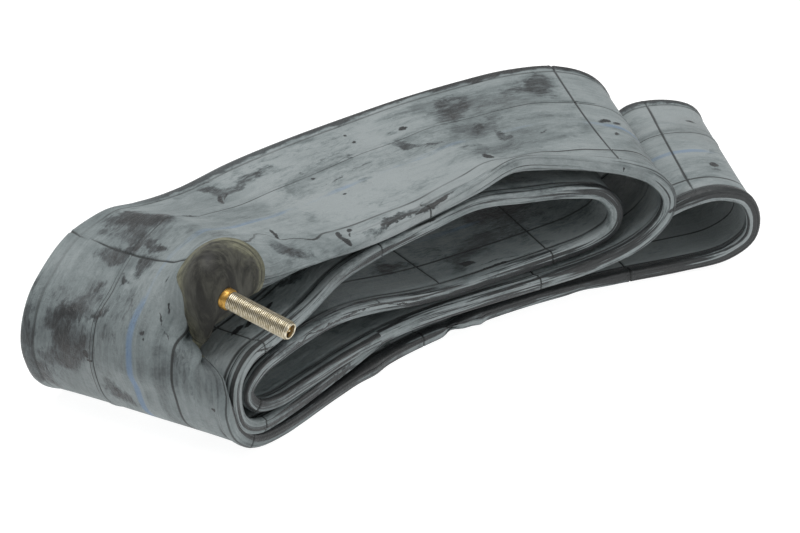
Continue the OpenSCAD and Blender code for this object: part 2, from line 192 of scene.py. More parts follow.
# Round the valve the flat belt opens into a nose. Its skin at a few rows: for each distance across the
# belt, where the upper skin lies (over, out) and where the lower skin lies.
NOSE_U = [0, 6.5, 10, 12, 14, 16, 19, 22, 24, 26, 28, 31, 34, 42, 52, 62.7, 80, 98]
NOSE = {
    76: ([1, 6.6, 10.2, 12.2, 14.2, 16.2, 19, 21.8, 23.6, 25.5, 27.4, 30.3, 33.3, 41.2, 51.2, 61.9, 79.4, 97.2],
         [-1.5, .3, 1, 1.4, 1.7, 2, 2.4, 2.8, 3.1, 3.5, 3.8, 4.4, 4.9, 5.8, 5, 2.8, 2, 2],
         [1, 6.4, 10, 12, 14, 16, 19, 21.8, 23.6, 25.5, 27.4, 30.3, 33.3, 41.2, 51.2, 61.9, 79.4, 97.2],
         [-1.5, -5, -5.5, -5.6, -5.6, -5.5, -5.3, -5.1, -5, -4.8, -4.6, -4.3, -4, -3.2, -2.6, -2.4, -2.2, -2]),
    76.5: ([4.5, 8.5, 11.2, 12.8, 14.5, 16.3, 19, 21.7, 23.5, 25.4, 27.2, 30, 32.9, 40.6, 50.5, 61, 78.5, 96.4],
           [-4.5, -2.6, -1.6, -1.1, -.5, 0, .8, 1.5, 2, 2.5, 3, 3.9, 4.8, 6.3, 5.3, 2.9, 2, 2],
           [4.5, 9, 12, 13.8, 15.6, 17.4, 20.2, 23, 24.9, 26.8, 28.7, 31.5, 34.4, 41.5, 50.6, 61, 78.5, 96.4],
           [-4.5, -7, -7.6, -7.8, -7.8, -7.8, -7.6, -7.4, -7.2, -7, -6.8, -6.4, -6, -4.6, -3.4, -2.7, -2.2, -2]),
    77: ([16, 19, 18, 15.4, 13.3, 15.6, 18.6, 21.4, 23.3, 25.1, 27, 29.6, 32.4, 39.9, 49.8, 60.1, 77.6, 95.4],
         [-10, -9, -7.6, -6.4, -5.5, -4.3, -2.5, -.9, .2, 1.1, 2, 3.3, 4.6, 6.8, 5.6, 2.9, 2, 2],
         [16, 19.5, 21, 22, 23, 24, 26, 28, 29.3, 30.7, 32, 34, 36, 41.8, 50, 60.1, 77.6, 95.4],
         [-10, -10.8, -10.9, -10.9, -10.8, -10.7, -10.5, -10.1, -9.8, -9.5, -9.2, -8.6, -8, -6, -4.2, -3, -2.3, -2]),
    78: ([9.8, 15.5, 18.6, 20.2, 21.6, 22.8, 23.8, 22.4, 20.4, 22.6, 24.8, 27.8, 30.8, 37.7, 47.3, 57.6, 75, 92.7],
         [-6.5, -7.8, -8.6, -9.1, -9.6, -10.2, -10.6, -9, -6.9, -5.4, -3.9, -2.1, -.3, 3.6, 2, -.6, .6, 2],
         [9.8, 14.5, 17.5, 19.1, 20.6, 22.1, 24.4, 26.6, 28, 29.5, 31, 33.2, 35.5, 41.5, 49, 57.6, 75, 92.7],
         [-6.5, -10, -11.6, -12.3, -12.8, -13.1, -13.4, -13.3, -13, -12.7, -12.2, -11.4, -10.6, -8, -6, -4.5, -3.2, -2]),
    79: ([2.3, 1.6, 3.2, 4.7, 6.5, 8.4, 11.6, 14.7, 16.9, 19.2, 21.5, 24.6, 27.5, 35.1, 45, 55.4, 73, 90.6],
         [2.8, 8.6, 11.6, 12.9, 13.6, 13.9, 13.2, 11.4, 9.8, 8, 6.5, 5, 4, 3.2, 1, 0, 1, 2],
         [2.3, 3.2, 4.5, 5.6, 6.8, 8.2, 10.5, 13, 14.8, 16.6, 18.5, 21.4, 24.5, 33, 43.5, 54.5, 72.5, 90.6],
         [2.8, -3.5, -6.8, -8.5, -10, -11.4, -13, -14.2, -14.6, -14.8, -14.8, -14.3, -13.6, -11, -8, -5.6, -3.4, -2]),
    80: ([.5, .6, 2.2, 3.6, 5.1, 7, 10, 13.2, 15.2, 17.2, 19.3, 22.6, 26, 34.2, 44.3, 54.9, 72.3, 90],
         [0, 6.4, 9.6, 11.2, 12.7, 13.8, 14.6, 14.3, 13.6, 12.6, 11.4, 9.4, 7.6, 5.3, 4.4, 4, 2.8, 2],
         [.5, 1.2, 2.8, 4.1, 5.6, 7.1, 9.7, 12.4, 14.2, 16, 18, 20.9, 24, 32.5, 43.3, 54.3, 72, 90],
         [0, -6.2, -9.4, -11, -12.3, -13.5, -14.9, -15.7, -16, -16, -15.8, -15, -14, -11, -8, -5.6, -3.4, -2]),
    81: ([0, 1.2, 3.2, 4.9, 6.7, 8.7, 11.8, 15, 17.2, 19.4, 21.7, 25.2, 28.9, 38.3, 48.8, 59.6, 77.3, 95],
         [0, 6.2, 9, 10.2, 11, 11.6, 12, 11.9, 11.6, 11.2, 10.8, 10.2, 9.7, 8.8, 9, 8.7, 5.4, 2],
         [0, 2.2, 5.3, 7.2, 9, 11, 13.8, 16.8, 18.8, 20.8, 22.8, 25.9, 29, 37.5, 48, 59, 77, 95],
         [0, -3.6, -4.7, -5.1, -5.4, -5.6, -5.8, -5.8, -5.7, -5.6, -5.5, -5.2, -5, -4.4, -3.8, -3, -2.4, -2]),
}
NOSE[75] = tuple(np.array(v) for v in (NOSE_U, [1.2, 2, 2, 2, 2, 2, 2, 2, 2, 2.1, 2.2, 2.4, 2.6, 3, 2.6, 2, 2, 2],
                                       NOSE_U, [-1.2] + [-2.05] * 17))
NOSE[82] = tuple(np.array(v) for v in (NOSE_U, [0, 4.4, 5.4, 5.7, 5.9, 6, 6, 6, 5.9, 5.8, 5.7, 5.6, 5.4, 5.1, 5, 4.6, 3.2, 2],
                                       NOSE_U, [0, -2.6, -3.2, -3.4, -3.5, -3.5, -3.5, -3.4, -3.4, -3.3, -3.2, -3.1, -3, -2.7, -2.4, -2.2, -2, -2]))

# Fat of the edge bead, and how far the belt sags near its inner edge, round the belt
BEAD = [(0, 1), (5, 1.05), (9, 1.1), (12, 1.15), (15, 1.1), (20, .95), (28, 1), (33, .95), (37, 1.12), (42, .95),
        (47, 1), (50, 1.05), (56, .95), (63, 1.05), (67, 1), (72, 1.05), (76, 1), (79, 1)]
CREASE = [(0, 0), (4, 0), (5.2, .35), (8, .8), (12, 1), (73.5, 1), (75, 0), (79, 0)]
SAG = [(0, 0), (5, 0), (6.3, 1.2), (7.4, 4.5), (8.3, 7), (9.2, 4.5), (10.2, 1.5), (12, 0), (79, 0)]


def hermite(x, X, Y):
    """Smooth curve through (X, Y[k]) at x; Y may carry further axes."""
    X = np.asarray(X, float)
    Y = np.asarray(Y, float)
    D = np.diff(Y, axis=0) / np.diff(X).reshape(-1, *[1] * (Y.ndim - 1))
    h = np.diff(X).reshape(-1, *[1] * (Y.ndim - 1))
    M = np.concatenate([D[:1], (D[:-1] * h[1:] + D[1:] * h[:-1]) / (h[1:] + h[:-1]), D[-1:]])
    x = np.clip(np.asarray(x, float), X[0], X[-1])
    i = np.clip(np.searchsorted(X, x, "right") - 1, 0, len(X) - 2)
    w = (X[i + 1] - X[i])
    f = (x - X[i]) / w
    s = (-1,) + (1,) * (Y.ndim - 1)
    f, w = f.reshape(s), w.reshape(s)
    return ((1 + 2 * f) * (1 - f) ** 2 * Y[i] + f * (1 - f) ** 2 * w * M[i]
            + f * f * (3 - 2 * f) * Y[i + 1] + f * f * (f - 1) * w * M[i + 1])


# The nose tables at the ring's own points: key row, ring point, (over, out)
_keys = sorted(NOSE)
_ring = []
for _r in _keys:
    xt, vt, xb, vb = (hermite(U_RING, NOSE_U, c) for c in NOSE[_r])
    _ring.append(np.stack([np.where(SIDE < 0, xb, xt), np.where(SIDE < 0, vb, vt)], -1))
_ring = np.array(_ring)
# Moulded detail that rides on that skin, and the far bead
_plain = np.interp(U_RING, [0, 7.5, 80, 86, 98], [0, 0, 0, 1, 1])
DETAIL = (H_RING - 2.05) * np.where(U_RING < 9, 0, 1)


def belt_points(t):
    """Points of the belt surface for every station in t and every ring point: (n, NRING, 3)."""
    S, n, w, g, lift = frames_at(t)
    bead = along(t, BEAD)[:, None]
    near = np.exp(-(U_RING / 7.0) ** 2)
    h = H_RING * (1 + (bead - 1) * near)
    # The crease beside the bead dies out on the upper side towards the nose
    fill = (1 - along(t, CREASE))[:, None] * ((SIDE > 0) & (U_RING > 5.5) & (U_RING < 9))
    h = h + fill * (2.5 - 0.06 * U_RING - h)
    sag = along(t, SAG)[:, None]
    q = U_RING / 26.0
    x = np.broadcast_to(U_RING, h.shape).copy()
    v = SIDE * h - sag * q * np.exp(1 - q) * (1 - (U_RING / 98.0) ** 2)
    # Blend into the nose
    tt = np.where(t < 40, t + NROWS, t)
    a = np.clip(np.minimum((tt - 75.0) / 0.9, (84.2 - tt) / 1.9), 0, 1)
    a = (a * a * (3 - 2 * a))[:, None]
    R = hermite(tt, _keys, _ring)
    d = np.roll(R, -1, 1) - np.roll(R, 1, 1)
    d /= np.linalg.norm(d, axis=2)[..., None] + 1e-9
    nx = R[..., 0] - d[..., 1] * DETAIL
    nv = R[..., 1] + d[..., 0] * DETAIL
    # The far edge closes the ring
    tip = np.abs(U_RING - 98) < 0.5
    nv = np.where(U_RING > 86, R[..., 1] * 0 + SIDE * H_RING + (R[..., 1] - 2 * SIDE), nv)
    nx = np.where(U_RING > 86, R[..., 0], nx)
    nv = np.where((SIDE == 0) & (U_RING > 90), 0.0, nv)
    x = x * (1 - a) + nx * a
    v = v * (1 - a) + nv * a
    return n[:, None] + w[:, None] * x[..., None] + lift[:, None] * v[..., None]
# Swells and dents of the belt: (row, across, half length, half width, turn, height)
BUMPS = [(2.6, 12, 12, 5, 40, 1.5), (69.15, 0, 5, 6, 0, 2.6), (68.8, 0, 3, 6, 0, -1.3), (3.2, 21, 9, 2.6, 82, 1.5),
         (2.9, 17, 8, 2.4, 78, -1.2), (78.3, 33, 20, 2.8, 0, -1.3), (78.2, 28, 18, 3, 0, 0.8), (5.9, 2, 14, 5, 0, 0.8),
         (70.4, 0, 8, 6, 0, -1.2), (67.4, 0, 9, 5, 0, 0.9)]
# Dark places, soft and hard edged: rubbed smears, and painted shade in creases and between the strands: (row, across,
# half length, half width, turn, strength)
SMEARS_AND_SHADE = [(5.4, 4.2, 17, 1.8, 2, 1.0),
          (1.69, 73, 13, 4.8, -75, 0.95), (1.76, 84, 6, 2.6, -25, 0.8), (0.97, 76, 7, 3.7, -75, 0.6),
    (1.16, 69, 6.5, 3.5, 70, 0.75), (0.81, 66, 2.4, 1.4, 80, 0.9), (0.79, 56, 5.3, 1.7, 85, 0.8),
    (0.80, 52, 2.8, 1.8, 50, 0.5), (0.20, 69, 5.6, 2.7, -45, 0.85), (0.51, 67, 5.5, 1.9, -60, 0.75),
    (0.02, 71, 4.5, 2, -50, 0.6), (0.22, 54, 3.6, 3.1, 30, 0.75), (78.97, 53, 2.4, 1.2, -90, 0.5),
    (78.54, 58, 2.1, 1.4, 85, 0.7), (77.79, 69, 5.9, 4.5, -35, 0.65), (78.07, 67, 3.4, 2, -25, 0.7),
    (77.37, 76, 7.1, 2.8, -45, 0.6), (77.48, 84, 4.6, 3.9, -35, 0.45), (76.93, 77, 7.7, 3.2, -55, 0.95),
    (76.54, 81, 5.7, 1.8, -60, 0.9), (76.99, 71, 11, 1.9, -65, 0.6), (77.13, 64, 5, 1, -70, 0.75),
    (77.33, 58, 2.6, 0.8, -45, 0.7), (75.97, 80, 8.8, 3.6, -5, 0.75), (76.04, 74, 8.1, 5.4, -65, 0.85),
    (75.47, 78, 9, 3.6, -75, 0.8), (75.58, 71, 7.4, 2.9, -70, 0.8), (74.68, 88, 5.9, 4.9, -75, 0.55),
    (74.73, 81, 8.4, 2, -70, 0.45), (75.77, 95, 16, 2.6, -5, 0.8), (74.62, 91, 9.8, 4.5, 40, 0.7),
    (76.95, 95, 6.7, 1.8, -5, 0.6), (76.83, 56, 5.5, 2.9, -80, 0.35), (77.82, 49, 8.4, 6, 75, 0.45),
    (77.42, 52, 3.6, 2.3, 80, 0.5), (78.22, 49, 5.2, 4.4, 65, 0.35), (74.55, 53, 4.7, 3.1, 55, 0.8),
    (74.78, 58, 2.4, 1.5, 75, 0.5), (76.71, 20, 12, 1, 15, 0.4), (75.98, 17, 6.7, 1.2, 15, 0.4),
    (4.20, 81, 6.1, 2.8, 75, 0.75), (4.09, 89, 11, 5.5, -5, 0.35), (3.41, 79, 12, 8, 35, 0.25),
    (4.50, 78, 9.2, 2.5, 0, 0.75), (4.88, 78, 10, 3.8, -5, 0.8), (5.26, 77, 6.3, 3.2, -15, 0.65),
    (5.51, 76, 4.7, 2.6, 0, 0.5), (5.17, 87, 15, 2.4, -5, 0.5), (5.45, 88, 10, 2.3, 5, 0.5),
    (6.11, 76, 17, 9.4, 30, 0.35), (5.88, 67, 6.4, 3.7, -5, 0.65), (6.07, 64, 3.6, 2.8, -10, 0.6),
    (5.69, 72, 6.7, 1.7, 50, 0.5), (5.85, 87, 7.3, 2.1, 55, 0.3), (6.47, 83, 6, 3.4, 30, 0.4),
    (6.43, 92, 12, 2.8, 5, 0.5), (6.80, 89, 8.6, 3.1, 15, 0.45), (6.17, 65, 2.5, 1.2, 75, 0.8),
    (7.21, 72, 2.9, 1.9, -20, 0.65), (7.61, 73, 3.6, 1.3, 5, 0.5), (7.20, 56, 5.9, 3.1, -75, 0.75),
    (7.62, 61, 5.3, 2.1, 60, 0.5), (5.89, 40, 3.6, 2.1, 0, 0.6), (5.56, 22, 8.6, 2.9, -20, 0.3),
    (7.45, 48, 4.3, 1.6, -30, 0.7), (2.92, 11, 8.2, 2.9, -70, 0.8), (3.10, 5, 2.4, 1.4, -65, 0.5),
    (44.21, -17, 5.1, 3.6, 5, 0.9), (44.44, -16, 5.6, 2, -25, 0.9), (44.04, -14, 2.8, 2.1, -75, 0.5),
    (43.70, -6, 6.8, 1.9, -20, 0.5), (8.29, 72, 11, 5.1, 50, 0.85), (8.54, 75, 7.8, 4.6, 45, 0.8),
    (8.85, 80, 6.8, 3.2, 45, 0.5), (8.28, 87, 8, 4.3, 20, 0.5), (8.50, 52, 5.6, 3.5, 55, 0.7),
    (8.76, 54, 5.6, 3, 20, 0.55), (8.50, 60, 7.1, 2.2, 60, 0.4), (7.80, 61, 4.6, 2.1, 60, 0.4),
    (7.86, 72, 6, 2.2, 80, 0.5), (9.02, 59, 5.6, 3.5, 60, 0.4), (9.00, 66, 5.6, 4.1, 45, 0.35),
    (9.80, 77, 6.7, 4.9, 70, 0.65), (10.34, 78, 9.3, 5.7, 65, 0.7), (10.45, 69, 5.5, 3.7, 90, 0.6),
    (9.72, 67, 4.3, 3.9, -50, 0.5), (10.57, 85, 4.7, 3.8, -35, 0.35), (9.60, 77, 4.8, 2.1, 70, 0.45),
    (8.80, 41, 3.3, 1.8, 65, 0.7), (8.78, 34, 5.7, 1.4, 80, 0.6), (8.04, 31, 6.5, 2.9, 70, 0.6),
    (7.82, 33, 8.1, 5.3, 20, 0.3), (9.33, 23, 4.3, 1.6, 75, 0.3), (11.91, 94, 8.2, 2.9, 45, 0.35),
    (59.87, 98, 4, 1.7, -40, 0.6), (59.67, 94, 4, 2.6, -75, 0.3), (31.29, 27, 9.3, 3.8, -10, 0.8),
    (31.19, 33, 5.3, 2.7, 45, 0.6), (43.67, -1, 4, 0.9, -20, 0.4), (32.23, 33, 10, 6.6, 0, 0.4),
    (33.76, 44, 20, 7.8, -15, 0.85), (33.66, 30, 9.9, 7.2, -30, 0.6), (33.12, 0, 20, 0.8, 0, 0.75),
    (61.36, 24, 2.8, 1.9, -85, 0.6), (61.63, 40, 4.6, 1.1, 55, 0.5), (65.06, 37, 18, 8.1, 0, 0.6),
    (66.07, -2, 17, 0.8, 0, 0.8), (67.22, -3, 14, 1.1, 0, 0.8), (52.05, -1, 21, 0.8, 0, 0.9),
    (52.97, -1, 17, 0.8, 0, 0.85), (70.09, -2, 17, 1, 0, 0.6), (67.72, -1, 21, 0.9, 0, 0.55)]
# Small sharp dark marks, same columns: rubbed marks, and thin painted shadow lines along the strands' edges and in
# creases
MARKS_AND_SHADE = [(6.2, 3.2, 12, 1.1, 0, 0.9),
         (75.93, 65, 2.3, 1.2, 55, 0.9), (75.71, 63, 1.2, 0.6, -85, 0.9), (77.12, 37, 1.1, 0.9, 85, 0.6),
    (76.97, 36, 0.7, 0.5, 10, 0.6), (78.20, 31, 2.8, 0.7, 0, 0.6), (77.72, 33, 4.3, 0.4, 30, 0.5),
    (77.38, 30, 3, 0.5, 45, 0.5), (78.90, 34, 2.9, 0.5, -20, 0.4), (75.21, 7, 1.1, 0.9, -80, 0.95),
    (4.05, 73, 5.4, 1.3, 55, 0.95), (4.20, 74, 4.9, 0.5, 40, 0.7), (2.74, 62, 5, 2.6, 10, 0.4),
    (4.46, 91, 6.6, 0.9, 0, 0.5), (6.64, 82, 1.2, 0.8, 65, 0.7), (6.59, 74, 1.3, 1, 70, 0.8),
    (5.44, 65, 2.1, 1.3, 55, 0.5), (5.45, 59, 1.4, 1.3, 60, 0.4), (7.42, 70, 2.1, 1.7, -25, 0.85),
    (6.03, 52, 15, 0.6, 0, 0.45), (5.81, 51, 13, 0.6, 5, 0.5), (5.52, 50, 10, 0.5, 5, 0.4),
    (5.56, 38, 2.8, 1.2, 5, 0.5), (5.43, 37, 1, 0.9, 40, 0.8), (7.34, 46, 3.4, 0.8, -25, 0.5),
    (3.30, 26, 4.8, 0.8, 60, 0.75), (4.20, 8, 3.3, 1.7, 30, 0.98),
    (4.16, 4, 2.2, 2.1, 5, 0.98), (4.51, 9, 2.5, 1.2, 25, 0.95), (4.40, 6, 3, 0.5, 30, 0.7),
    (5.47, 3, 16, 1.6, 5, 0.9), (5.94, 2, 8, 1.3, 0, 0.9), (5.19, 4, 4.9, 1.1, 15, 0.8),
    (41.84, -1, 2.8, 0.4, -5, 0.8), (7.98, 24, 3.6, 2.7, -70, 0.75), (9.26, 35, 5.2, 1.3, 20, 0.5),
    (9.60, 37, 3.5, 1.1, 25, 0.45), (11.37, 47, 3.6, 1.6, 30, 0.85), (11.71, 47, 3.8, 1.2, 40, 0.6),
    (11.44, 34, 2.4, 1, 45, 0.9), (10.77, 0, 0.7, 0.3, 0, 0.8), (61.30, 28, 2.8, 2.3, 25, 0.9),
    (61.35, 74, 3.1, 1.3, -20, 0.6), (13.65, 1, 3, 1.1, -30, 0.7), (32.64, 6, 17, 0.9, 0, 0.7),
    (32.47, 14, 4.1, 2.2, -20, 0.9), (33.04, 9, 20, 0.7, 0, 0.5), (44.96, -21, 9.9, 0.7, -5, 0.9),
    (45.36, -15, 4.6, 0.9, 5, 0.8), (45.96, -15, 4.7, 1.1, 5, 0.85), (46.36, -16, 5.2, 1.4, 10, 0.9),
    (46.49, 0, 6.8, 0.3, -5, 0.95), (28.43, 0, 32, 0.3, 0, 0.95), (30.85, 0, 29, 0.3, -5, 0.8)]
# Where the near mould line runs across the outer side, round the belt
SEAM = [(0, 20), (1.7, 18), (2.6, 25), (3.1, 27), (3.35, 14), (4, 12.6), (5, 12.4), (6.3, 12), (7.2, 15.5), (8.3, 18),
        (9.8, 15), (10.6, 15.5), (11.6, 18), (14, 18), (20, 20), (40, 24), (58, 19), (60, 16), (61.7, 13.5), (64, 15), (70, 22),
        (74, 24), (79, 24)]
# How much of the skin is rubbed at random, round the belt
WILD = [(0, .6), (2, .8), (11, .75), (14, .7), (18, 1), (46, 1), (58, 1), (60, .6), (64, .6), (68, 1), (73, .8), (75, .3), (79, .35)]
# Painted fill light round the belt: the talc colour is lifted inside the bundle, where shade falls, and lowered round
# the nose
TALC_TONE_AND_FILL = [(0, -.3), (1.5, -.1), (3, .3), (4, .4), (5, 3.2), (7, 2.0), (8.8, .3), (10, 1.4), (12, .2), (14, 0), (20, .7), (27, 1.1), (34, 1.1),
         (40, 1.1), (52, 1), (57, .8), (60, 1.2), (62, 1.4), (66, .6), (73, -.4), (74.8, -.5),
         (76.2, -1.9), (77.3, -1.2), (78.5, .3), (79, .1)]
# How dark the far edge is painted round the belt: partly rubbed wear, partly painted shade along the far edge
FAR_RUB_AND_SHADE = [(0, .1), (2, .25), (4, .85), (8, 1), (16, 1), (30, .8), (60, .9), (66, 1), (72, .6), (75, .15), (79, .1)]
# How far the edge bead is rubbed dark round the belt, on the outer and on the inner side of the count
STRIP_OVER = [(0, .15), (8, .05), (10, .1), (13, .35), (17, .5), (27, .5), (34, .5), (36, .3), (42, .35), (50, .3), (53, .5), (59, .6),
              (61.5, .98), (65.5, .98), (67.5, .4), (72, .35), (75, .15), (79, .15)]
STRIP_UNDER = [(0, .3), (11, .3), (14, .45), (20, .5), (30, .5), (34.5, .85), (38, .8), (40, .3), (46, .35), (50, .5),
               (59, .6), (62, .45), (65, .6), (67, .85), (72, .8), (76, .5), (79, .4)]

# Where the wall folds over the patch: distance along the nose, and how far across the patch shows
PATCH_FOLD_S = [-40, -31, -25, -18, -12, -6, -1, 2, 40]
PATCH_FOLD_U = [3, 4, 6, 13, 19, 24, 30, 40, 40]
# ---------------------------------------------------------------- marks and creases round the belt
# Cross ribs left by the mould's vents: row, first and last distance across the belt (minus: underside), skew in rows
RIBS = [(10.84, 4, 98, 0.05), (60.3, 4, 98, 0.08), (0.42, 26, 98, -0.1), (66.78, -98, 8, 0.0), (6.03, -98, 8, 0.0),
        (31.7, 6, 98, -0.05), (17.95, -98, 8, 0.0), (33.85, -8, 60, 0.0), (46.5, -98, 8, 0.05), (51.2, -98, 8, 0.0),
        (73.2, -8, 98, 0.0), (24.0, -8, 98, 0.0), (42.9, -98, 6, 0.0), (69.6, -8, 98, 0.0), (55.4, -98, 6, 0.0)]

# Stations: an even walk round the belt, and close ones at each rib
_seg = 790
_s = np.linspace(0, LENGTH, _seg, endpoint=False)
_t = [row_of(_s)]
for r in RIBS:
    c = arc_of(r[0])
    _t.append(row_of(np.array([c - 2.4, c - 1.3, c - 0.7, c - 0.3, c, c + 0.3, c + 0.7, c + 1.3, c + 2.4])))
STATIONS = np.unique(np.round(np.concatenate(_t) % NROWS, 5))
# The count starts under the bundle, where the pattern's seam doesn't show
_k = np.searchsorted(STATIONS, 20.5)
STATIONS = np.concatenate([STATIONS[_k:], STATIONS[:_k] + NROWS])
NS = len(STATIONS)
S_ARC = arc_of(STATIONS) + np.where(STATIONS >= NROWS, LENGTH, 0) - arc_of(STATIONS[:1])[0]
U_SIGNED = np.where(SIDE < 0, -U_RING, U_RING)


def smooth(x, a, b):
    x = np.clip((x - a) / (b - a), 0, 1)
    return x * x * (3 - 2 * x)


def gauss(x, w):
    return np.exp(-(x / w) ** 2)


def ds_of(row):
    """Signed distance along the belt from that row, in mm, for each station."""
    d = arc_of(STATIONS) - arc_of(row)
    return (d + LENGTH / 2) % LENGTH - LENGTH / 2


def normals(P):
    a = np.roll(P, -1, 0) - np.roll(P, 1, 0)
    b = np.roll(P, -1, 1) - np.roll(P, 1, 1)
    n = np.cross(b, a)
    return n / (np.linalg.norm(n, axis=2)[..., None] + 1e-12)


def build_belt():
    P = belt_points(STATIONS % NROWS)
    N = normals(P)
    lift = np.zeros((NS, NRING))
    rib = np.zeros((NS, NRING))
    for row, u0, u1, skew in RIBS:
        d = ds_of(row)[:, None] - skew * 24 * (np.abs(U_SIGNED) - 49) / 49
        inside = smooth(U_SIGNED, u0 - 1, u0 + 1) * (1 - smooth(U_SIGNED, u1 - 1, u1 + 1))
        ridge = 0.42 * gauss(d, 0.42) - 0.16 * gauss(np.abs(d) - 0.95, 0.4)
        lift += ridge * inside
        rib = np.maximum(rib, gauss(d, 0.55) * inside)
    # Slack and handling: long low swells along the belt, and small dimples
    rng = np.random.default_rng(7)
    s = S_ARC[:, None] / LENGTH * 2 * np.pi
    q = np.abs(U_RING)[None] / 98.0
    for k in range(26):
        n = rng.integers(3, 46)
        m = rng.uniform(0.4, 2.2)
        p1, p2 = rng.uniform(0, 2 * np.pi, 2)
        amp = 0.9 / (1 + n / 7.0)
        lift += amp * 0.5 * np.sin(n * s + p1) * np.sin(np.pi * m * q + p2) * np.sin(np.pi * q) ** 0.7 * np.where(SIDE < 0, 0.7, 1)
    for row, u, long, wide, turn, height in BUMPS:
        d = ds_of(row)[:, None]
        a = math.radians(turn)
        v = U_SIGNED[None] - u
        x = d * math.cos(a) + v * math.sin(a)
        y = -d * math.sin(a) + v * math.cos(a)
        lift += height * np.exp(-(x / long) ** 2 - (y / wide) ** 2)
    P = P + N * lift[..., None]
    P[..., 2] = np.maximum(P[..., 2], 0.0)
    return P, rib


# ---------------------------------------------------------------- meshes
SCENE = bpy.context.scene


def link(obj):
    SCENE.collection.objects.link(obj)
    return obj


def to_metres(P):
    return (np.asarray(P, float) + OFF) * 0.001


def grid_mesh(name, P, close_u=True, close_v=True):
    """A quad mesh over a grid of points (n, m, 3) in metres."""
    n, m = P.shape[:2]
    i, j = np.meshgrid(np.arange(n if close_u else n - 1), np.arange(m if close_v else m - 1), indexing="ij")
    i, j = i.ravel(), j.ravel()
    a, b = i * m + j, ((i + 1) % n) * m + j
    c, d = ((i + 1) % n) * m + (j + 1) % m, i * m + (j + 1) % m
    F = np.stack([a, b, c, d], 1)
    me = bpy.data.meshes.new(name)
    me.vertices.add(n * m)
    me.vertices.foreach_set("co", P.reshape(-1, 3).astype(np.float32).ravel())
    me.loops.add(F.size)
    me.loops.foreach_set("vertex_index", F.ravel().astype(np.int32))
    me.polygons.add(len(F))
    me.polygons.foreach_set("loop_start", (np.arange(len(F)) * 4).astype(np.int32))
    me.polygons.foreach_set("use_smooth", np.ones(len(F), bool))
    me.update(calc_edges=True)
    me.validate()
    return me, F, i, j


def add_uv(me, name, uv):
    layer = me.uv_layers.new(name=name, do_init=False)
    layer.data.foreach_set("uv", uv.astype(np.float32).ravel())
    return layer


def add_float(me, name, values):
    at = me.attributes.new(name, "FLOAT", "POINT")
    at.data.foreach_set("value", np.asarray(values, np.float32).ravel())


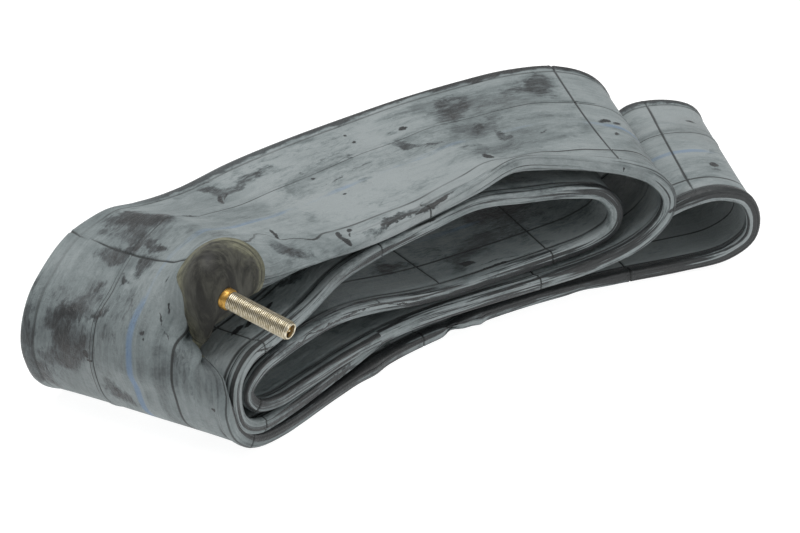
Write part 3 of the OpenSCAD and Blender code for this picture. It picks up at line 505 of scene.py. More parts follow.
def make_belt():
    P, rib = build_belt()
    me, F, i, j = grid_mesh("folded_tube", to_metres(P))
    # Belt coordinates in metres on each corner: along, and signed across
    s_next = np.append(S_ARC[1:], LENGTH + 0 * S_ARC[:1])
    s0, s1 = S_ARC[i], s_next[i]
    # Across the belt the count is u, but round the edge bead it follows the skin
    walk = np.concatenate([[0], np.cumsum(np.hypot(np.diff(HALF[:, 0]), np.diff(HALF[:, 1])))])
    turn = np.interp(3.0, HALF[:, 0], walk)
    girth = np.where(walk < turn, 3.0 * walk / turn, HALF[:, 0])
    girth = np.concatenate([girth, girth[-2:0:-1]])
    u = np.where(SIDE < 0, -girth, girth)
    u0 = u[j].copy()
    u1 = u[(j + 1) % NRING].copy()
    far = j == NH - 1
    u0[far] = -98.0
    uv = np.stack([np.stack([s0, u0], 1), np.stack([s1, u0], 1), np.stack([s1, u1], 1), np.stack([s0, u1], 1)], 1) * 0.001
    add_uv(me, "belt", uv.reshape(-1, 2))
    # A second map, cut in strips, so that a texture can be baked on it
    strips = 3
    cut = LENGTH / strips
    k = np.minimum((s0 // cut).astype(int), strips - 1)
    g0 = np.where(j < NH - 1, U_RING[j], 196 - U_RING[j])
    g1 = np.where((j + 1) % NRING == 0, 196, np.where(j + 1 < NH, U_RING[(j + 1) % NRING], 196 - U_RING[(j + 1) % NRING]))
    g0 = np.where(far, 98, g0)
    x0, x1 = (s0 - k * cut) / (cut * 1.02) + 0.004, (np.minimum(s1, LENGTH) - k * cut) / (cut * 1.02) + 0.004
    y0, y1 = (k + 0.01 + 0.97 * g0 / 196) / strips, (k + 0.01 + 0.97 * g1 / 196) / strips
    bake = np.stack([np.stack([x0, y0], 1), np.stack([x1, y0], 1), np.stack([x1, y1], 1), np.stack([x0, y1], 1)], 1)
    add_uv(me, "OFBake", bake.reshape(-1, 2))
    me.uv_layers.active = me.uv_layers["belt"]
    add_float(me, "rib", rib)
    # Painted shade in the crease beside the near bead, by row
    add_float(me, "crease_shade", np.where(SIDE[None] > 0, along(STATIONS % NROWS, CREASE)[:, None], 1.0))
    add_float(me, "wild", np.broadcast_to(along(STATIONS % NROWS, WILD)[:, None] * np.where(SIDE < 0, 1.0, 1.0), (NS, NRING)))
    # Painted fill light by row, lifted more on the inner side of loop C where shade falls
    hidden_painted_fill = np.clip(1 - np.abs(STATIONS % NROWS - 64) / 7, 0, 1)[:, None] * np.where(SIDE < 0, 1.0, 0.0)
    add_float(me, "talc_tone_and_fill", along(STATIONS % NROWS, TALC_TONE_AND_FILL)[:, None] + 1.6 * hidden_painted_fill)
    # Far-edge darkening by row: partly rubbed wear, partly painted shade
    add_float(me, "far", np.broadcast_to(along(STATIONS % NROWS, FAR_RUB_AND_SHADE)[:, None], (NS, NRING)))
    # Round-the-section coordinates, so that wear runs on over both edges without a break
    seg = np.hypot(np.diff(np.append(U_RING, U_RING[0])), np.diff(np.append(SIDE * H_RING, SIDE[0] * H_RING[0])))
    arc = np.concatenate([[0], np.cumsum(seg)[:-1]]) / seg.sum() * 2 * np.pi
    size = seg.sum() / (2 * np.pi) * 0.001
    add_float(me, "ring_y", np.broadcast_to(size * np.cos(arc), (NS, NRING)))
    add_float(me, "ring_z", np.broadcast_to(size * np.sin(arc), (NS, NRING)))
    add_float(me, "seam", np.where(SIDE[None] > 0, hermite(STATIONS % NROWS, *zip(*SEAM))[:, None], 24.0) * 0.001)
    over, under = (along(STATIONS % NROWS, v)[:, None] for v in (STRIP_OVER, STRIP_UNDER))
    add_float(me, "strip", np.where(SIDE < 0, under, np.where(SIDE > 0, over, (over + under) / 2)))
    ob = link(bpy.data.objects.new("folded_tube", me))
    return ob, P


# ---------------------------------------------------------------- node helpers
class Tree:
    def __init__(self, name):
        self.mat = bpy.data.materials.new(name)
        self.mat.use_nodes = True
        self.t = self.mat.node_tree
        self.t.nodes.clear()
        self.out = self.t.nodes.new("ShaderNodeOutputMaterial")

    def node(self, kind, **props):
        n = self.t.nodes.new(kind)
        for k, v in props.items():
            setattr(n, k, v)
        return n

    def put(self, socket, value):
        if hasattr(value, "is_output") or isinstance(value, bpy.types.NodeSocket):
            self.t.links.new(value, socket)
        elif value is not None:
            socket.default_value = value

    def math(self, op, a, b=None, c=None, clamp=False):
        n = self.node("ShaderNodeMath", operation=op, use_clamp=clamp)
        for k, v in enumerate((a, b, c)):
            if v is not None:
                self.put(n.inputs[k], v)
        return n.outputs[0]

    def mix(self, f, a, b, blend="MIX"):
        n = self.node("ShaderNodeMix", data_type="RGBA", blend_type=blend)
        self.put(n.inputs[0], f)
        self.put(n.inputs[6], a)
        self.put(n.inputs[7], b)
        return n.outputs[2]

    def ramp(self, f, lo, hi, a=0.0, b=1.0, smoother=True):
        n = self.node("ShaderNodeMapRange", interpolation_type="SMOOTHSTEP" if smoother else "LINEAR")
        n.clamp = True
        self.put(n.inputs[0], f)
        for k, v in zip((1, 2, 3, 4), (lo, hi, a, b)):
            n.inputs[k].default_value = v
        return n.outputs[0]

    def noise(self, vector, scale, detail=4.0, rough=0.55, distort=0.0, lac=2.0):
        n = self.node("ShaderNodeTexNoise", noise_dimensions="3D")
        self.put(n.inputs["Vector"], vector)
        n.inputs["Scale"].default_value = scale
        n.inputs["Detail"].default_value = detail
        n.inputs["Roughness"].default_value = rough
        n.inputs["Lacunarity"].default_value = lac
        n.inputs["Distortion"].default_value = distort
        return n.outputs[0]

    def scaled(self, vector, sx, sy, sz=1.0, loc=(0, 0, 0)):
        n = self.node("ShaderNodeMapping")
        self.put(n.inputs[0], vector)
        n.inputs[1].default_value = loc
        n.inputs[3].default_value = (sx, sy, sz)
        return n.outputs[0]

    def attr(self, name):
        n = self.node("ShaderNodeAttribute", attribute_name=name)
        return n.outputs["Fac"]

    def bump(self, height, dist, strength=1.0, normal=None):
        n = self.node("ShaderNodeBump")
        n.inputs["Strength"].default_value = strength
        n.inputs["Distance"].default_value = dist
        self.put(n.inputs["Height"], height)
        if normal is not None:
            self.put(n.inputs["Normal"], normal)
        return n.outputs[0]

    def finish(self, **sockets):
        b = self.node("ShaderNodeBsdfPrincipled")
        for k, v in sockets.items():
            self.put(b.inputs[k.replace("_", " ")], v)
        self.t.links.new(b.outputs[0], self.out.inputs[0])
        return self.mat


def rgb(hexa):
    """sRGB hex to linear colour."""
    v = [int(hexa[k:k + 2], 16) / 255 for k in (0, 2, 4)]
    return tuple((x / 12.92 if x <= 0.04045 else ((x + 0.055) / 1.055) ** 2.4) for x in v) + (1.0,)


# ---------------------------------------------------------------- materials
def blots(T, uv, table, fat):
    """Dark places in belt coordinates, rubbed marks and painted shade alike: 0 outside, up to each one's strength at
    its middle.
    """
    groups = {}
    start = arc_of(STATIONS[:1] % NROWS)[0]
    for row, u, long, wide, turn, strength in table:
        s = (float(arc_of(row)) - start) % LENGTH
        m = T.node("ShaderNodeMapping", vector_type="TEXTURE")
        T.put(m.inputs[0], uv)
        m.inputs[1].default_value = (s * 0.001, u * 0.001, 0)
        m.inputs[2].default_value = (0, 0, math.radians(turn))
        m.inputs[3].default_value = (long * fat, wide * fat, 1)
        g = T.node("ShaderNodeTexGradient", gradient_type="SPHERICAL")
        T.put(g.inputs[0], m.outputs[0])
        k = round(strength * 5) / 5
        groups[k] = g.outputs["Fac"] if k not in groups else T.math("MAXIMUM", groups[k], g.outputs["Fac"])
    total = None
    for k, g in groups.items():
        v = T.ramp(g, 0.0, 0.8, 0.0, k)
        total = v if total is None else T.math("MAXIMUM", total, v)
    return total


def butyl():
    """Talc-bloomed butyl rubber: blue-grey dust over near-black rubber, rubbed through in smears, with painted shade
    in creases and between strands and painted fill light inside the bundle.
    """
    T = Tree("talced_butyl")
    uv = T.node("ShaderNodeUVMap", uv_map="belt").outputs[0]
    sep = T.node("ShaderNodeSeparateXYZ")
    T.put(sep.inputs[0], uv)
    s, u = sep.outputs[0], sep.outputs[1]
    au = T.math("ABSOLUTE", u)
    obj = T.node("ShaderNodeTexCoord").outputs["Object"]

    comb = T.node("ShaderNodeCombineXYZ")
    T.put(comb.inputs[0], s)
    T.put(comb.inputs[1], T.attr("ring_y"))
    T.put(comb.inputs[2], T.attr("ring_z"))
    skin = comb.outputs[0]

    def laid(along_belt, across, loc=(0, 0, 0)):
        return T.scaled(skin, along_belt, across, across, loc)

    def full(value, lo=0.36, hi=0.64):
        """A noise stretched to run from -0.5 to 0.5."""
        return T.ramp(value, lo, hi, -0.5, 0.5, smoother=False)
    cloud = full(T.noise(obj, 15, 5, 0.6, 0.5))
    patchy = full(T.noise(laid(26, 44, (3, 1, 2)), 1.0, 6, 0.66, 0.9))
    mottle = full(T.noise(T.scaled(obj, 1, 1, 1, (3, 1, 2)), 85, 6, 0.7, 1.2))
    scuff = full(T.noise(laid(110, 330, (2, 4, 0)), 1.0, 6, 0.72, 0.6))
    streak = full(T.noise(laid(9, 260), 1.0, 6, 0.62, 0.3))
    long = full(T.noise(laid(15, 600, (8, 3, 0)), 1.0, 5, 0.6, 0.4))
    hair = full(T.noise(laid(34, 900, (5, 2, 0)), 1.0, 5, 0.65, 0.2))
    fine = full(T.noise(laid(150, 420, (6, 5, 2)), 1.0, 6, 0.75, 1.4), 0.40, 0.60)
    grit = full(T.noise(obj, 900, 3, 0.7))

    def add(*terms):
        out = terms[0]
        for v, k in terms[1:]:
            out = T.math("MULTIPLY_ADD", v, k, out)
        return out
    tone = T.math("MULTIPLY_ADD", cloud, 0.20, 0.74)
    tone = add(tone, (patchy, 0.17), (mottle, 0.13), (streak, 0.14), (hair, 0.09), (scuff, 0.09), (grit, 0.06))
    # Painted fill light: the talc colour is lifted by row where the inside of the bundle lies in shade
    tone = add(tone, (T.attr("talc_tone_and_fill"), 0.12))
    warp = T.node("ShaderNodeTexNoise", noise_dimensions="3D")
    T.put(warp.inputs["Vector"], laid(48, 62, (4, 4, 1)))
    warp.inputs["Scale"].default_value = 1.0
    warp.inputs["Detail"].default_value = 5.0
    warp.inputs["Roughness"].default_value = 0.62

    def warped(by):
        a = T.node("ShaderNodeVectorMath", operation="MULTIPLY_ADD")
        T.put(a.inputs[0], warp.outputs["Color"])
        a.inputs[1].default_value = (by, by, 0)
        a.inputs[2].default_value = (-by / 2, -by / 2, 0)
        b = T.node("ShaderNodeVectorMath", operation="ADD")
        T.put(b.inputs[0], uv)
        T.put(b.inputs[1], a.outputs[0])
        return b.outputs[0]
    # Smears and marks: rubbed places, and painted shade in creases and between the strands
    sm = blots(T, warped(0.024), SMEARS_AND_SHADE, 0.00225)
    sm = add(sm, (patchy, 0.22), (mottle, 0.26), (scuff, 0.24), (streak, 0.20), (hair, 0.14), (fine, 0.34), (grit, 0.10))
    sm = T.ramp(sm, 0.04, 1.22)
    mk = blots(T, warped(0.007), MARKS_AND_SHADE, 0.0015)
    mk = T.ramp(add(mk, (mottle, 0.2), (scuff, 0.22), (fine, 0.25), (grit, 0.1)), 0.26, 0.60)
    wild = T.noise(laid(15, 34, (1, 7, 0)), 1.0, 4, 0.6, 0.9)
    wild = T.ramp(add(wild, (mottle, 0.09), (scuff, 0.06), (streak, 0.06), (fine, 0.08)), 0.46, 0.74)
    wild = T.math("MULTIPLY", wild, T.attr("wild"))
    # Mould lines gather dirt; the creases are darkened as painted shade
    def line(at, wide):
        d = T.math("ABSOLUTE", T.math("SUBTRACT", au, at))
        return T.ramp(d, wide * 0.35, wide, 1.0, 0.0)
    broken = T.ramp(add(T.noise(laid(14, 3), 1.0, 3), (streak, 0.12)), 0.34, 0.52, 0.45, 1.0)
    lines = T.math("MAXIMUM", line(T.attr("seam"), 0.00085), T.math("MAXIMUM", line(0.0618, 0.0004), line(0.0634, 0.0004)))
    lines = T.math("MULTIPLY", lines, broken)
    # Two fine flow lines run round the bead itself
    flow = T.math("MAXIMUM", line(0.0019, 0.00035), line(0.0046, 0.0003))
    flow = T.math("MULTIPLY", flow, T.ramp(long, -0.2, 0.2, 0.0, 0.85))
    lines = T.math("MAXIMUM", lines, flow)
    # Painted shade in the crease beside the near bead and in the one by the far bead
    crease_shade = T.math("MAXIMUM", T.math("MULTIPLY", line(0.0065, 0.0010), T.attr("crease_shade")), T.math("MULTIPLY", line(0.0912, 0.0009), 0.6))
    crease_shade = T.math("MULTIPLY", crease_shade, broken)
    rib = T.ramp(T.attr("rib"), 0.25, 0.8)
    # The edge bead: dusted pale on the quiet runs, rubbed black where the strip says so
    bead = T.ramp(add(au, (scuff, 0.0012)), 0.0046, 0.0062, 1.0, 0.0)
    rubbed = T.ramp(add(T.attr("strip"), (long, 0.62), (patchy, 0.14), (hair, 0.15)), 0.38, 0.62)
    # The far bead's dark band: partly rubbed wear, partly painted shade
    far_band_rub_and_shade = T.ramp(add(au, (patchy, 0.003), (scuff, 0.0012)), 0.0913, 0.0936, 0.0, 0.88)
    dark = T.math("MAXIMUM", T.math("MULTIPLY", sm, 0.95), T.math("MULTIPLY", mk, 0.95))
    dark = T.math("MAXIMUM", dark, T.math("MULTIPLY", wild, 0.72))
    dark = T.math("MAXIMUM", dark, T.math("MULTIPLY", T.math("MULTIPLY", rubbed, bead), 0.9))
    dark = T.math("MAXIMUM", dark, T.math("MULTIPLY", far_band_rub_and_shade, T.attr("far")))
    tone = T.math("MULTIPLY", tone, T.math("SUBTRACT", 1.0, T.math("MULTIPLY", dark, 0.92)))
    ramp = T.node("ShaderNodeValToRGB")
    T.put(ramp.inputs[0], tone)
    stops = [(0.0, "1b1d1e"), (0.18, "2a2d2e"), (0.38, "484e50"), (0.6, "6b7475"), (0.82, "828a8b"), (1.0, "8e9596")]
    for k, (at, c) in enumerate(stops):
        e = ramp.color_ramp.elements[k] if k < 2 else ramp.color_ramp.elements.new(at)
        e.position = at
        e.color = rgb(c)
    col = ramp.outputs[0]
    # Blue size stripe along the belt
    stripe = line(0.0425, 0.0021)
    stripe = T.math("MULTIPLY", stripe, T.ramp(T.noise(T.scaled(uv, 16, 60, 1, (9, 1, 0)), 1.0, 4, 0.6), 0.44, 0.62, 0.0, 0.5))
    stripe = T.math("MULTIPLY", stripe, T.ramp(u, 0.0, 0.001))
    stripe = T.math("MULTIPLY", stripe, T.math("SUBTRACT", 1.0, dark))
    col = T.mix(stripe, col, rgb("56789f"))
    brown = T.ramp(add(T.noise(laid(18, 30, (2, 9, 0)), 1.0, 4, 0.6, 0.5), (mottle, 0.05)), 0.54, 0.7, 0.0, 0.14)
    col = T.mix(brown, col, rgb("5a5552"), "MIX")
    # Dark lines: ribs and mould lines as dark marks, the creases as painted shade
    groove = T.math("MAXIMUM", T.math("MULTIPLY", rib, 0.85), T.math("MAXIMUM", T.math("MULTIPLY", lines, 0.9), T.math("MULTIPLY", crease_shade, 0.85)))
    col = T.mix(groove, col, rgb("1a1c1c"))
    rough = add(T.ramp(dark, 0.0, 1.0, 0.60, 0.40), (streak, 0.08), (mottle, 0.08))
    h = T.math("MULTIPLY", grit, 0.25)
    h = add(h, (hair, 0.35), (scuff, 0.3), (mottle, 0.9), (patchy, 1.6))
    n = T.bump(h, 0.00045, 0.6)
    return T.finish(Base_Color=col, Roughness=rough, Normal=n, IOR=1.48)
# ---------------------------------------------------------------- valve
VALVE = Vector([x * 0.001 for x in (polar(np.array(289.5), -28.2, np.array(70.0)) + OFF)])
_h, _d = math.radians(-69), math.radians(8.5)
STEM = Vector((math.cos(_h) * math.cos(_d), math.sin(_h) * math.cos(_d), -math.sin(_d)))
SIDE_X = Vector((-math.cos(_h) * math.sin(_d), -math.sin(_h) * math.sin(_d), -math.cos(_d)))
SIDE_Y = STEM.cross(SIDE_X)
TIP = 32.0


def valve_points(r, a, z):
    """Points round the stem from radius, angle and height above the patch, in mm."""
    r, a, z = np.broadcast_arrays(np.asarray(r, float), np.asarray(a, float), np.asarray(z, float))
    X, Y, Z, O = (np.array(v) for v in (SIDE_X, SIDE_Y, STEM, VALVE))
    return O + 0.001 * ((r * np.cos(a))[..., None] * X + (r * np.sin(a))[..., None] * Y + z[..., None] * Z)


def lathe(name, outline, n=64):
    """A closed ring of outline points (r, z) turned about the stem's axis."""
    a = np.linspace(0, 2 * np.pi, n, endpoint=False)[:, None]
    o = np.array(outline, float)
    P = valve_points(o[None, :, 0], a, o[None, :, 1])
    me, F, i, j = grid_mesh(name, P)
    uv = np.stack([a[i, 0] / (2 * np.pi), o[j, 1] / TIP], -1)
    add_uv(me, "round", np.repeat(uv, 4, axis=0))
    return link(bpy.data.objects.new(name, me))


def make_spring():
    """The core spring: six working turns between closed end turns, from the barrel's seat to the pin's shoulder."""
    n, k = 8 * 30, 10
    f = np.linspace(0, 8, n + 1)
    lo, hi = TIP - 16.73, TIP - 9.17
    z = np.interp(f, [0, 0.9, 7.1, 8], [lo, lo + 0.27, hi - 0.27, hi])
    z[1:-1] = (z[:-2] + 2 * z[1:-1] + z[2:]) / 4
    c = np.linspace(0, 2 * np.pi, k, endpoint=False)
    P = valve_points(0.88 + 0.13 * np.cos(c)[None], 2 * np.pi * f[:, None], z[:, None] + 0.13 * np.sin(c)[None])
    faces = [(i * k + j, i * k + (j + 1) % k, (i + 1) * k + (j + 1) % k, (i + 1) * k + j) for i in range(n) for j in range(k)]
    faces += [tuple(range(k))[::-1], tuple(n * k + j for j in range(k))]
    me = bpy.data.meshes.new("spring_wire")
    me.from_pydata(np.asarray(P).reshape(-1, 3).tolist(), [], faces)
    bm = bmesh.new()
    bm.from_mesh(me)
    bmesh.ops.recalc_face_normals(bm, faces=bm.faces)
    bm.to_mesh(me)
    bm.free()
    me.polygons.foreach_set("use_smooth", [True] * len(me.polygons))
    return link(bpy.data.objects.new("spring_wire", me)), [Vector(valve_points(np.zeros(1), np.zeros(1), np.array([v])).reshape(3)) for v in (lo + 0.35, hi - 0.35)]


def make_stem():
    n, pitch, depth, R = 56, 0.794, 0.44, 3.87
    a = np.linspace(0, 2 * np.pi, n, endpoint=False)[:, None]
    z = np.arange(2.3, 31.45, pitch / 8)
    start = [(2.3, -3.2), (3.3, -3.2), (3.6, -3), (3.6, 0.2), (3.5, 2.2)]
    end = [(3.42, 31.5), (3.42, 31.62), (3.38, 31.8), (3.24, 31.94), (3.05, 32), (2.86, 31.98), (2.72, 31.84),
           (2.66, 31.5), (2.66, TIP - 9.4), (2.3, TIP - 11.4)]
    r = np.concatenate([[p[0] for p in start], np.full(len(z), R), [p[0] for p in end]])
    zz = np.concatenate([[p[1] for p in start], z, [p[1] for p in end]])
    r2 = np.repeat(r[None], n, 0)
    k = len(start)
    f = ((z[None] - pitch * a / (2 * np.pi)) / pitch) % 1.0
    groove = np.clip(1 - np.abs(f - 0.5) / 0.36, 0, 1)
    groove = groove * groove * (3 - 2 * groove)
    body = R - depth * groove
    ease = np.clip((z[None] - 2.3) / 0.8, 0, 1)
    body = 3.5 + (body - 3.5) * ease
    top = np.clip((31.5 - z[None]) / 0.7, 0, 1)
    body = np.minimum(body, 3.42 + 0.45 * top)
    r2[:, k:k + len(z)] = body
    P = valve_points(r2, a, zz[None])
    me, F, i, j = grid_mesh("stem_thread", P)
    uv = np.stack([a[i, 0] / (2 * np.pi), zz[j] / TIP], -1)
    add_uv(me, "round", np.repeat(uv, 4, axis=0))
    add_float(me, "groove", np.concatenate([np.zeros((n, k)), groove, np.zeros((n, len(end)))], 1))
    return link(bpy.data.objects.new("stem_thread", me))


def make_patch():
    """The moulded rubber base of the valve, laid on the nose of the tube."""
    rows = np.linspace(NROWS - 3.4, NROWS + 3.2, 221)
    at = belt_points(rows % NROWS)
    order = np.argsort(U_SIGNED, kind="stable")
    keep = order[np.abs(U_SIGNED[order]) <= 46]
    uu = U_SIGNED[keep] + np.linspace(0, 1e-4, len(keep))
    grid = at[:, keep]
    # Distance along the tip of the nose, from the line of the stem
    O, d = np.array(VALVE) * 1000 - OFF, np.array(STEM)
    mid = np.array([[np.interp(0, uu, grid[i, :, c]) for c in range(3)] for i in range(len(rows))])
    off = np.linalg.norm(np.cross(mid - O, d), axis=1)
    s = np.concatenate([[0], np.cumsum(np.linalg.norm(np.diff(mid, axis=0), axis=1))])
    s -= s[np.argmin(off)]
    ug = np.linspace(-40, 40, 161)
    sg = np.linspace(-38, 38, 153)
    G = np.empty((len(rows), len(ug), 3))
    for i in range(len(rows)):
        for c in range(3):
            G[i, :, c] = np.interp(ug, uu, grid[i, :, c])
    H = np.empty((len(sg), len(ug), 3))
    for j in range(len(ug)):
        for c in range(3):
            H[:, j, c] = np.interp(sg, s, G[:, j, c])
    for _ in range(10):
        H[1:-1] = (H[:-2] + 2 * H[1:-1] + H[2:]) / 4
        H[:, 1:-1] = (H[:, :-2] + 2 * H[:, 1:-1] + H[:, 2:]) / 4
    N = np.cross(np.gradient(H, axis=0), np.gradient(H, axis=1))
    N /= np.linalg.norm(N, axis=2)[..., None]
    if (N[76, 80] * d).sum() < 0:
        N = -N
    nr, na = 44, 144
    rr = np.linspace(0, 1, nr) ** 0.9
    aa = np.linspace(0, 2 * np.pi, na, endpoint=False)
    # The rim is a circle of 30 mm, cut short where the wall folds over it
    full = 30.5 - 7 * np.clip(np.cos(aa), 0, 1) ** 2 + 2.5 * np.clip(-np.cos(aa), 0, 1) ** 2 + 1.2 * np.clip(-np.sin(aa), 0, 1) ** 2 + 0.4 * np.sin(3 * aa + 1) + 0.3 * np.sin(5 * aa)
    lim = np.array(full)
    for k, a in enumerate(aa):
        for r in np.linspace(6, full[k], 60):
            sx, ux = r * math.cos(a), r * math.sin(a)
            if ux > np.interp(sx, PATCH_FOLD_S, PATCH_FOLD_U):
                lim[k] = r
                break
    for _ in range(3):
        lim = (np.roll(lim, 1) + 2 * lim + np.roll(lim, -1)) / 4
    R = 3.6 + (lim[None] - 3.6) * rr[:, None]
    S, U = R * np.cos(aa)[None], R * np.sin(aa)[None]

    def sample(A, S, U):
        fi = np.clip((S - sg[0]) / (sg[1] - sg[0]), 0, len(sg) - 1.001)
        fj = np.clip((U - ug[0]) / (ug[1] - ug[0]), 0, len(ug) - 1.001)
        i, j = fi.astype(int), fj.astype(int)
        a, b = (fi - i)[..., None], (fj - j)[..., None]
        return (A[i, j] * (1 - a) * (1 - b) + A[i + 1, j] * a * (1 - b) + A[i, j + 1] * (1 - a) * b + A[i + 1, j + 1] * a * b)
    base, nn = sample(H, S, U), sample(N, S, U)
    # Thin rim, fuller middle, a low dish round the stem and a lip that grips it
    q = R / 30.0
    # The patch meets the stem's foot at the CAD height
    lift0 = ((O - base[0]) @ d).mean()
    thick = 0.5 + 1.5 * (1 - smooth(q, 0.25, 1.0)) + 0.03 * np.sin(R * 2.2 + 2 * np.sin(3 * aa)) * (q > 0.55)
    near = np.exp(-((R - 3.6) / 5.0) ** 2)
    thick = thick * (1 - near) + (lift0 + 0.4) * near
    thick = np.where(q > 0.985, 0.25, thick)
    top = base + nn * thick[..., None]
    under = base[-1:] - nn[-1:] * 0.6
    P = np.concatenate([top, under], 0)
    me, F, i, j = grid_mesh("patch_skin", to_metres(P).transpose(1, 0, 2), close_v=False)
    add_float(me, "rim", np.concatenate([q, q[-1:]], 0).T)
    add_float(me, "round", np.repeat(aa[:, None], nr + 1, 1))
    ob = link(bpy.data.objects.new("valve_base", me))
    print("patch: lift at stem", round(float(lift0), 2), "closest", round(float(off.min()), 2))
    return ob


# ---------------------------------------------------------------- finishes of the valve
def patch_rubber():
    T = Tree("patch_rubber")
    q = T.attr("rim")
    obj = T.node("ShaderNodeTexCoord").outputs["Object"]
    n1 = T.noise(obj, 60, 5, 0.6, 0.5)
    n2 = T.noise(obj, 260, 4, 0.65)
    comb = T.node("ShaderNodeCombineXYZ")
    T.put(comb.inputs[0], T.math("MULTIPLY", q, 26.0))
    T.put(comb.inputs[1], T.math("MULTIPLY", T.math("SINE", T.attr("round")), 0.9))
    T.put(comb.inputs[2], T.math("MULTIPLY", T.math("COSINE", T.attr("round")), 0.9))
    rings = T.noise(comb.outputs[0], 1.0, 5, 0.7, 0.2)
    wipe = T.noise(T.scaled(obj, 110, 110, 26, (1, 2, 5)), 1.0, 6, 0.7, 0.8)
    blot = T.ramp(n1, 0.36, 0.64, -0.5, 0.5, smoother=False)
    edge = T.ramp(T.math("ADD", q, T.math("MULTIPLY", blot, 0.3)), 0.58, 0.94)
    centre = T.mix(T.ramp(wipe, 0.38, 0.62), rgb("1c1c18"), rgb("46463f"))
    khaki = T.mix(T.ramp(T.math("ADD", T.math("MULTIPLY", rings, 0.6), T.math("MULTIPLY", wipe, 0.4)), 0.4, 0.6), rgb("3a3a30"), rgb("7c7c68"))
    col = T.mix(edge, centre, khaki)
    pale = T.ramp(n2, 0.62, 0.8, 0.0, 0.3)
    col = T.mix(pale, col, rgb("66675c"))
    dusk = T.ramp(T.noise(obj, 34, 4, 0.6, 0.7), 0.55, 0.7, 0.0, 0.5)
    col = T.mix(dusk, col, rgb("22211e"))
    h = T.math("ADD", T.math("MULTIPLY", rings, T.math("MULTIPLY", edge, 1.0)), T.math("MULTIPLY", n2, 0.5))
    return T.finish(Base_Color=col, Roughness=T.ramp(n1, 0.3, 0.7, 0.55, 0.8), Normal=T.bump(h, 0.0005, 0.7), IOR=1.4)


def metal(name, light, dark, rough=(0.25, 0.45), scale=500, groove=False):
    T = Tree(name)
    obj = T.node("ShaderNodeTexCoord").outputs["Object"]
    n1 = T.noise(obj, scale, 4, 0.6)
    n2 = T.noise(obj, scale * 3, 3, 0.6)
    col = T.mix(T.ramp(n1, 0.35, 0.65), light, dark)
    if groove:
        g = T.attr("groove")
        col = T.mix(T.math("MULTIPLY", g, 0.75), col, rgb("4a3f2a"))
    h = T.math("ADD", n1, T.math("MULTIPLY", n2, 0.4))
    return T.finish(Base_Color=col, Metallic=1.0, Roughness=T.ramp(n1, 0.3, 0.7, rough[0], rough[1]),
                    Normal=T.bump(h, 0.00008, 0.4))


def rubbery(name, light, dark, scale=300):
    T = Tree(name)
    obj = T.node("ShaderNodeTexCoord").outputs["Object"]
    n1 = T.noise(obj, scale, 4, 0.6)
    return T.finish(Base_Color=T.mix(T.ramp(n1, 0.3, 0.7), light, dark), Roughness=T.ramp(n1, 0.3, 0.7, 0.45, 0.65),
                    Normal=T.bump(n1, 0.0001, 0.4))
# ---------------------------------------------------------------- build
belt, BELT_P = make_belt()
belt.data.materials.append(butyl())
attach(belt, "tube")
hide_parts("inner_tube")

NICKEL = metal("warm_nickel", rgb("d2cbb8"), rgb("b3a98f"), (0.25, 0.4), 500, True)
BRASS = metal("turned_brass", rgb("bd9650"), rgb("98743a"), (0.35, 0.55), 700)
patch = make_patch()
patch.data.materials.append(patch_rubber())
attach(patch, "tube")
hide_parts("valve_patch")

stem = make_stem()
stem.data.materials.append(NICKEL)
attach(stem, "tube")
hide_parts("valve_stem")

collar = lathe("valve_collar", [(3.45, -0.6), (4.28, -0.6), (4.4, 0.2), (4.42, 1.5), (4.36, 2.5), (4.2, 2.85), (3.9, 2.98), (3.45, 3.0)])
collar.data.materials.append(BRASS)
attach(collar, "tube")

# The core's own pieces are shown as the CAD has them, each with its finish
for node, body, mat, slot in (
        ("core_plug", "plug", BRASS, "brass"), ("core_barrel", "core", BRASS, "brass"),
        ("barrel_gasket", "core", rubbery("gasket_rubber", rgb("7a1f18"), rgb("4f120e")), "gasket"),
        ("core_pin", "pin", metal("pin_metal", rgb("e9dfc0"), rgb("c4b48a"), (0.25, 0.4), 900), "pin_brass"),
        ("poppet_cup", "pin", BRASS, "brass"),
        ("poppet_seal", "pin", rubbery("seal_black", rgb("1c1c1d"), rgb("2c2c2d")), "seal_rubber")):
    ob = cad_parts[node]
    ob.data.materials.clear()
    ob.data.materials.append(mat)

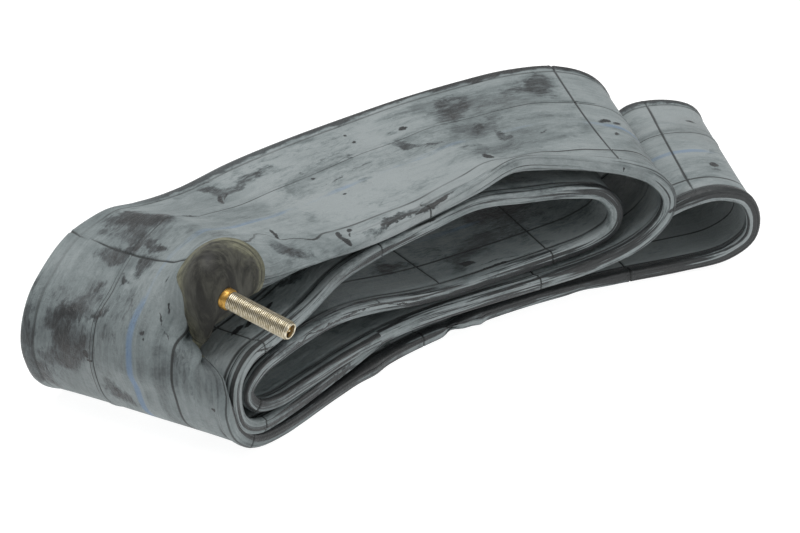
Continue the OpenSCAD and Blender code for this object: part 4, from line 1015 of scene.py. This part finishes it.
# The spring is squeezed between the barrel's seat and the pin's shoulder
spring, ends = make_spring()
spring.data.materials.append(metal("spring_steel_wire", rgb("b9bcc0"), rgb("8e9297"), (0.2, 0.35), 900))
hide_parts("core_spring")
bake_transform(spring)

# ---------------------------------------------------------------- camera, light, floor
a, e = math.radians(-34.7), math.radians(29.5)
back = Vector((math.sin(a) * math.cos(e), -math.cos(a) * math.cos(e), math.sin(e)))
target = Vector((-0.0218, 0.302, 0.025)) + Vector([x * 0.001 for x in OFF])
cam_data = bpy.data.cameras.new("camera")
cam_data.sensor_width = 36.0
cam_data.lens = 2545.0 / 800 * 36.0
cam_data.clip_start, cam_data.clip_end = 0.05, 20
cam = link(bpy.data.objects.new("camera", cam_data))
cam.location = target + back * 1.1
cam.rotation_mode = "QUATERNION"
cam.rotation_quaternion = (-back).to_track_quat("-Z", "Y")
SCENE.camera = cam

world = bpy.data.worlds.new("studio")
SCENE.world = world
world.use_nodes = True
world.node_tree.nodes["Background"].inputs[0].default_value = (1, 1, 1, 1)
world.node_tree.nodes["Background"].inputs[1].default_value = 0.45

SCENE.view_settings.view_transform = "Standard"
SCENE.view_settings.look = "None"


def softbox(name, at, aim, size, power):
    d = bpy.data.lights.new(name, "AREA")
    d.shape = "RECTANGLE"
    d.size, d.size_y = size
    d.energy = power
    o = link(bpy.data.objects.new(name, d))
    o.location = at
    o.rotation_mode = "QUATERNION"
    o.rotation_quaternion = (Vector(aim) - Vector(at)).to_track_quat("-Z", "Y")
    return o


softbox("key", (-0.2, 0.25, 1.3), (0, 0, 0), (1.2, 1.0), 15)
softbox("fill", (0.7, -1.4, 0.5), (0.03, 0, 0.03), (1.0, 0.7), 6)

me = bpy.data.meshes.new("floor")
me.from_pydata([(-4, -4, 0), (4, -4, 0), (4, 4, 0), (-4, 4, 0)], [], [(0, 1, 2, 3)])
floor = link(bpy.data.objects.new("floor", me))
T = Tree("floor_white")
floor.data.materials.append(T.finish(Base_Color=(0.3, 0.3, 0.3, 1), Roughness=0.9, Emission_Color=(1, 1, 1, 1),
                                     Emission_Strength=0.9))
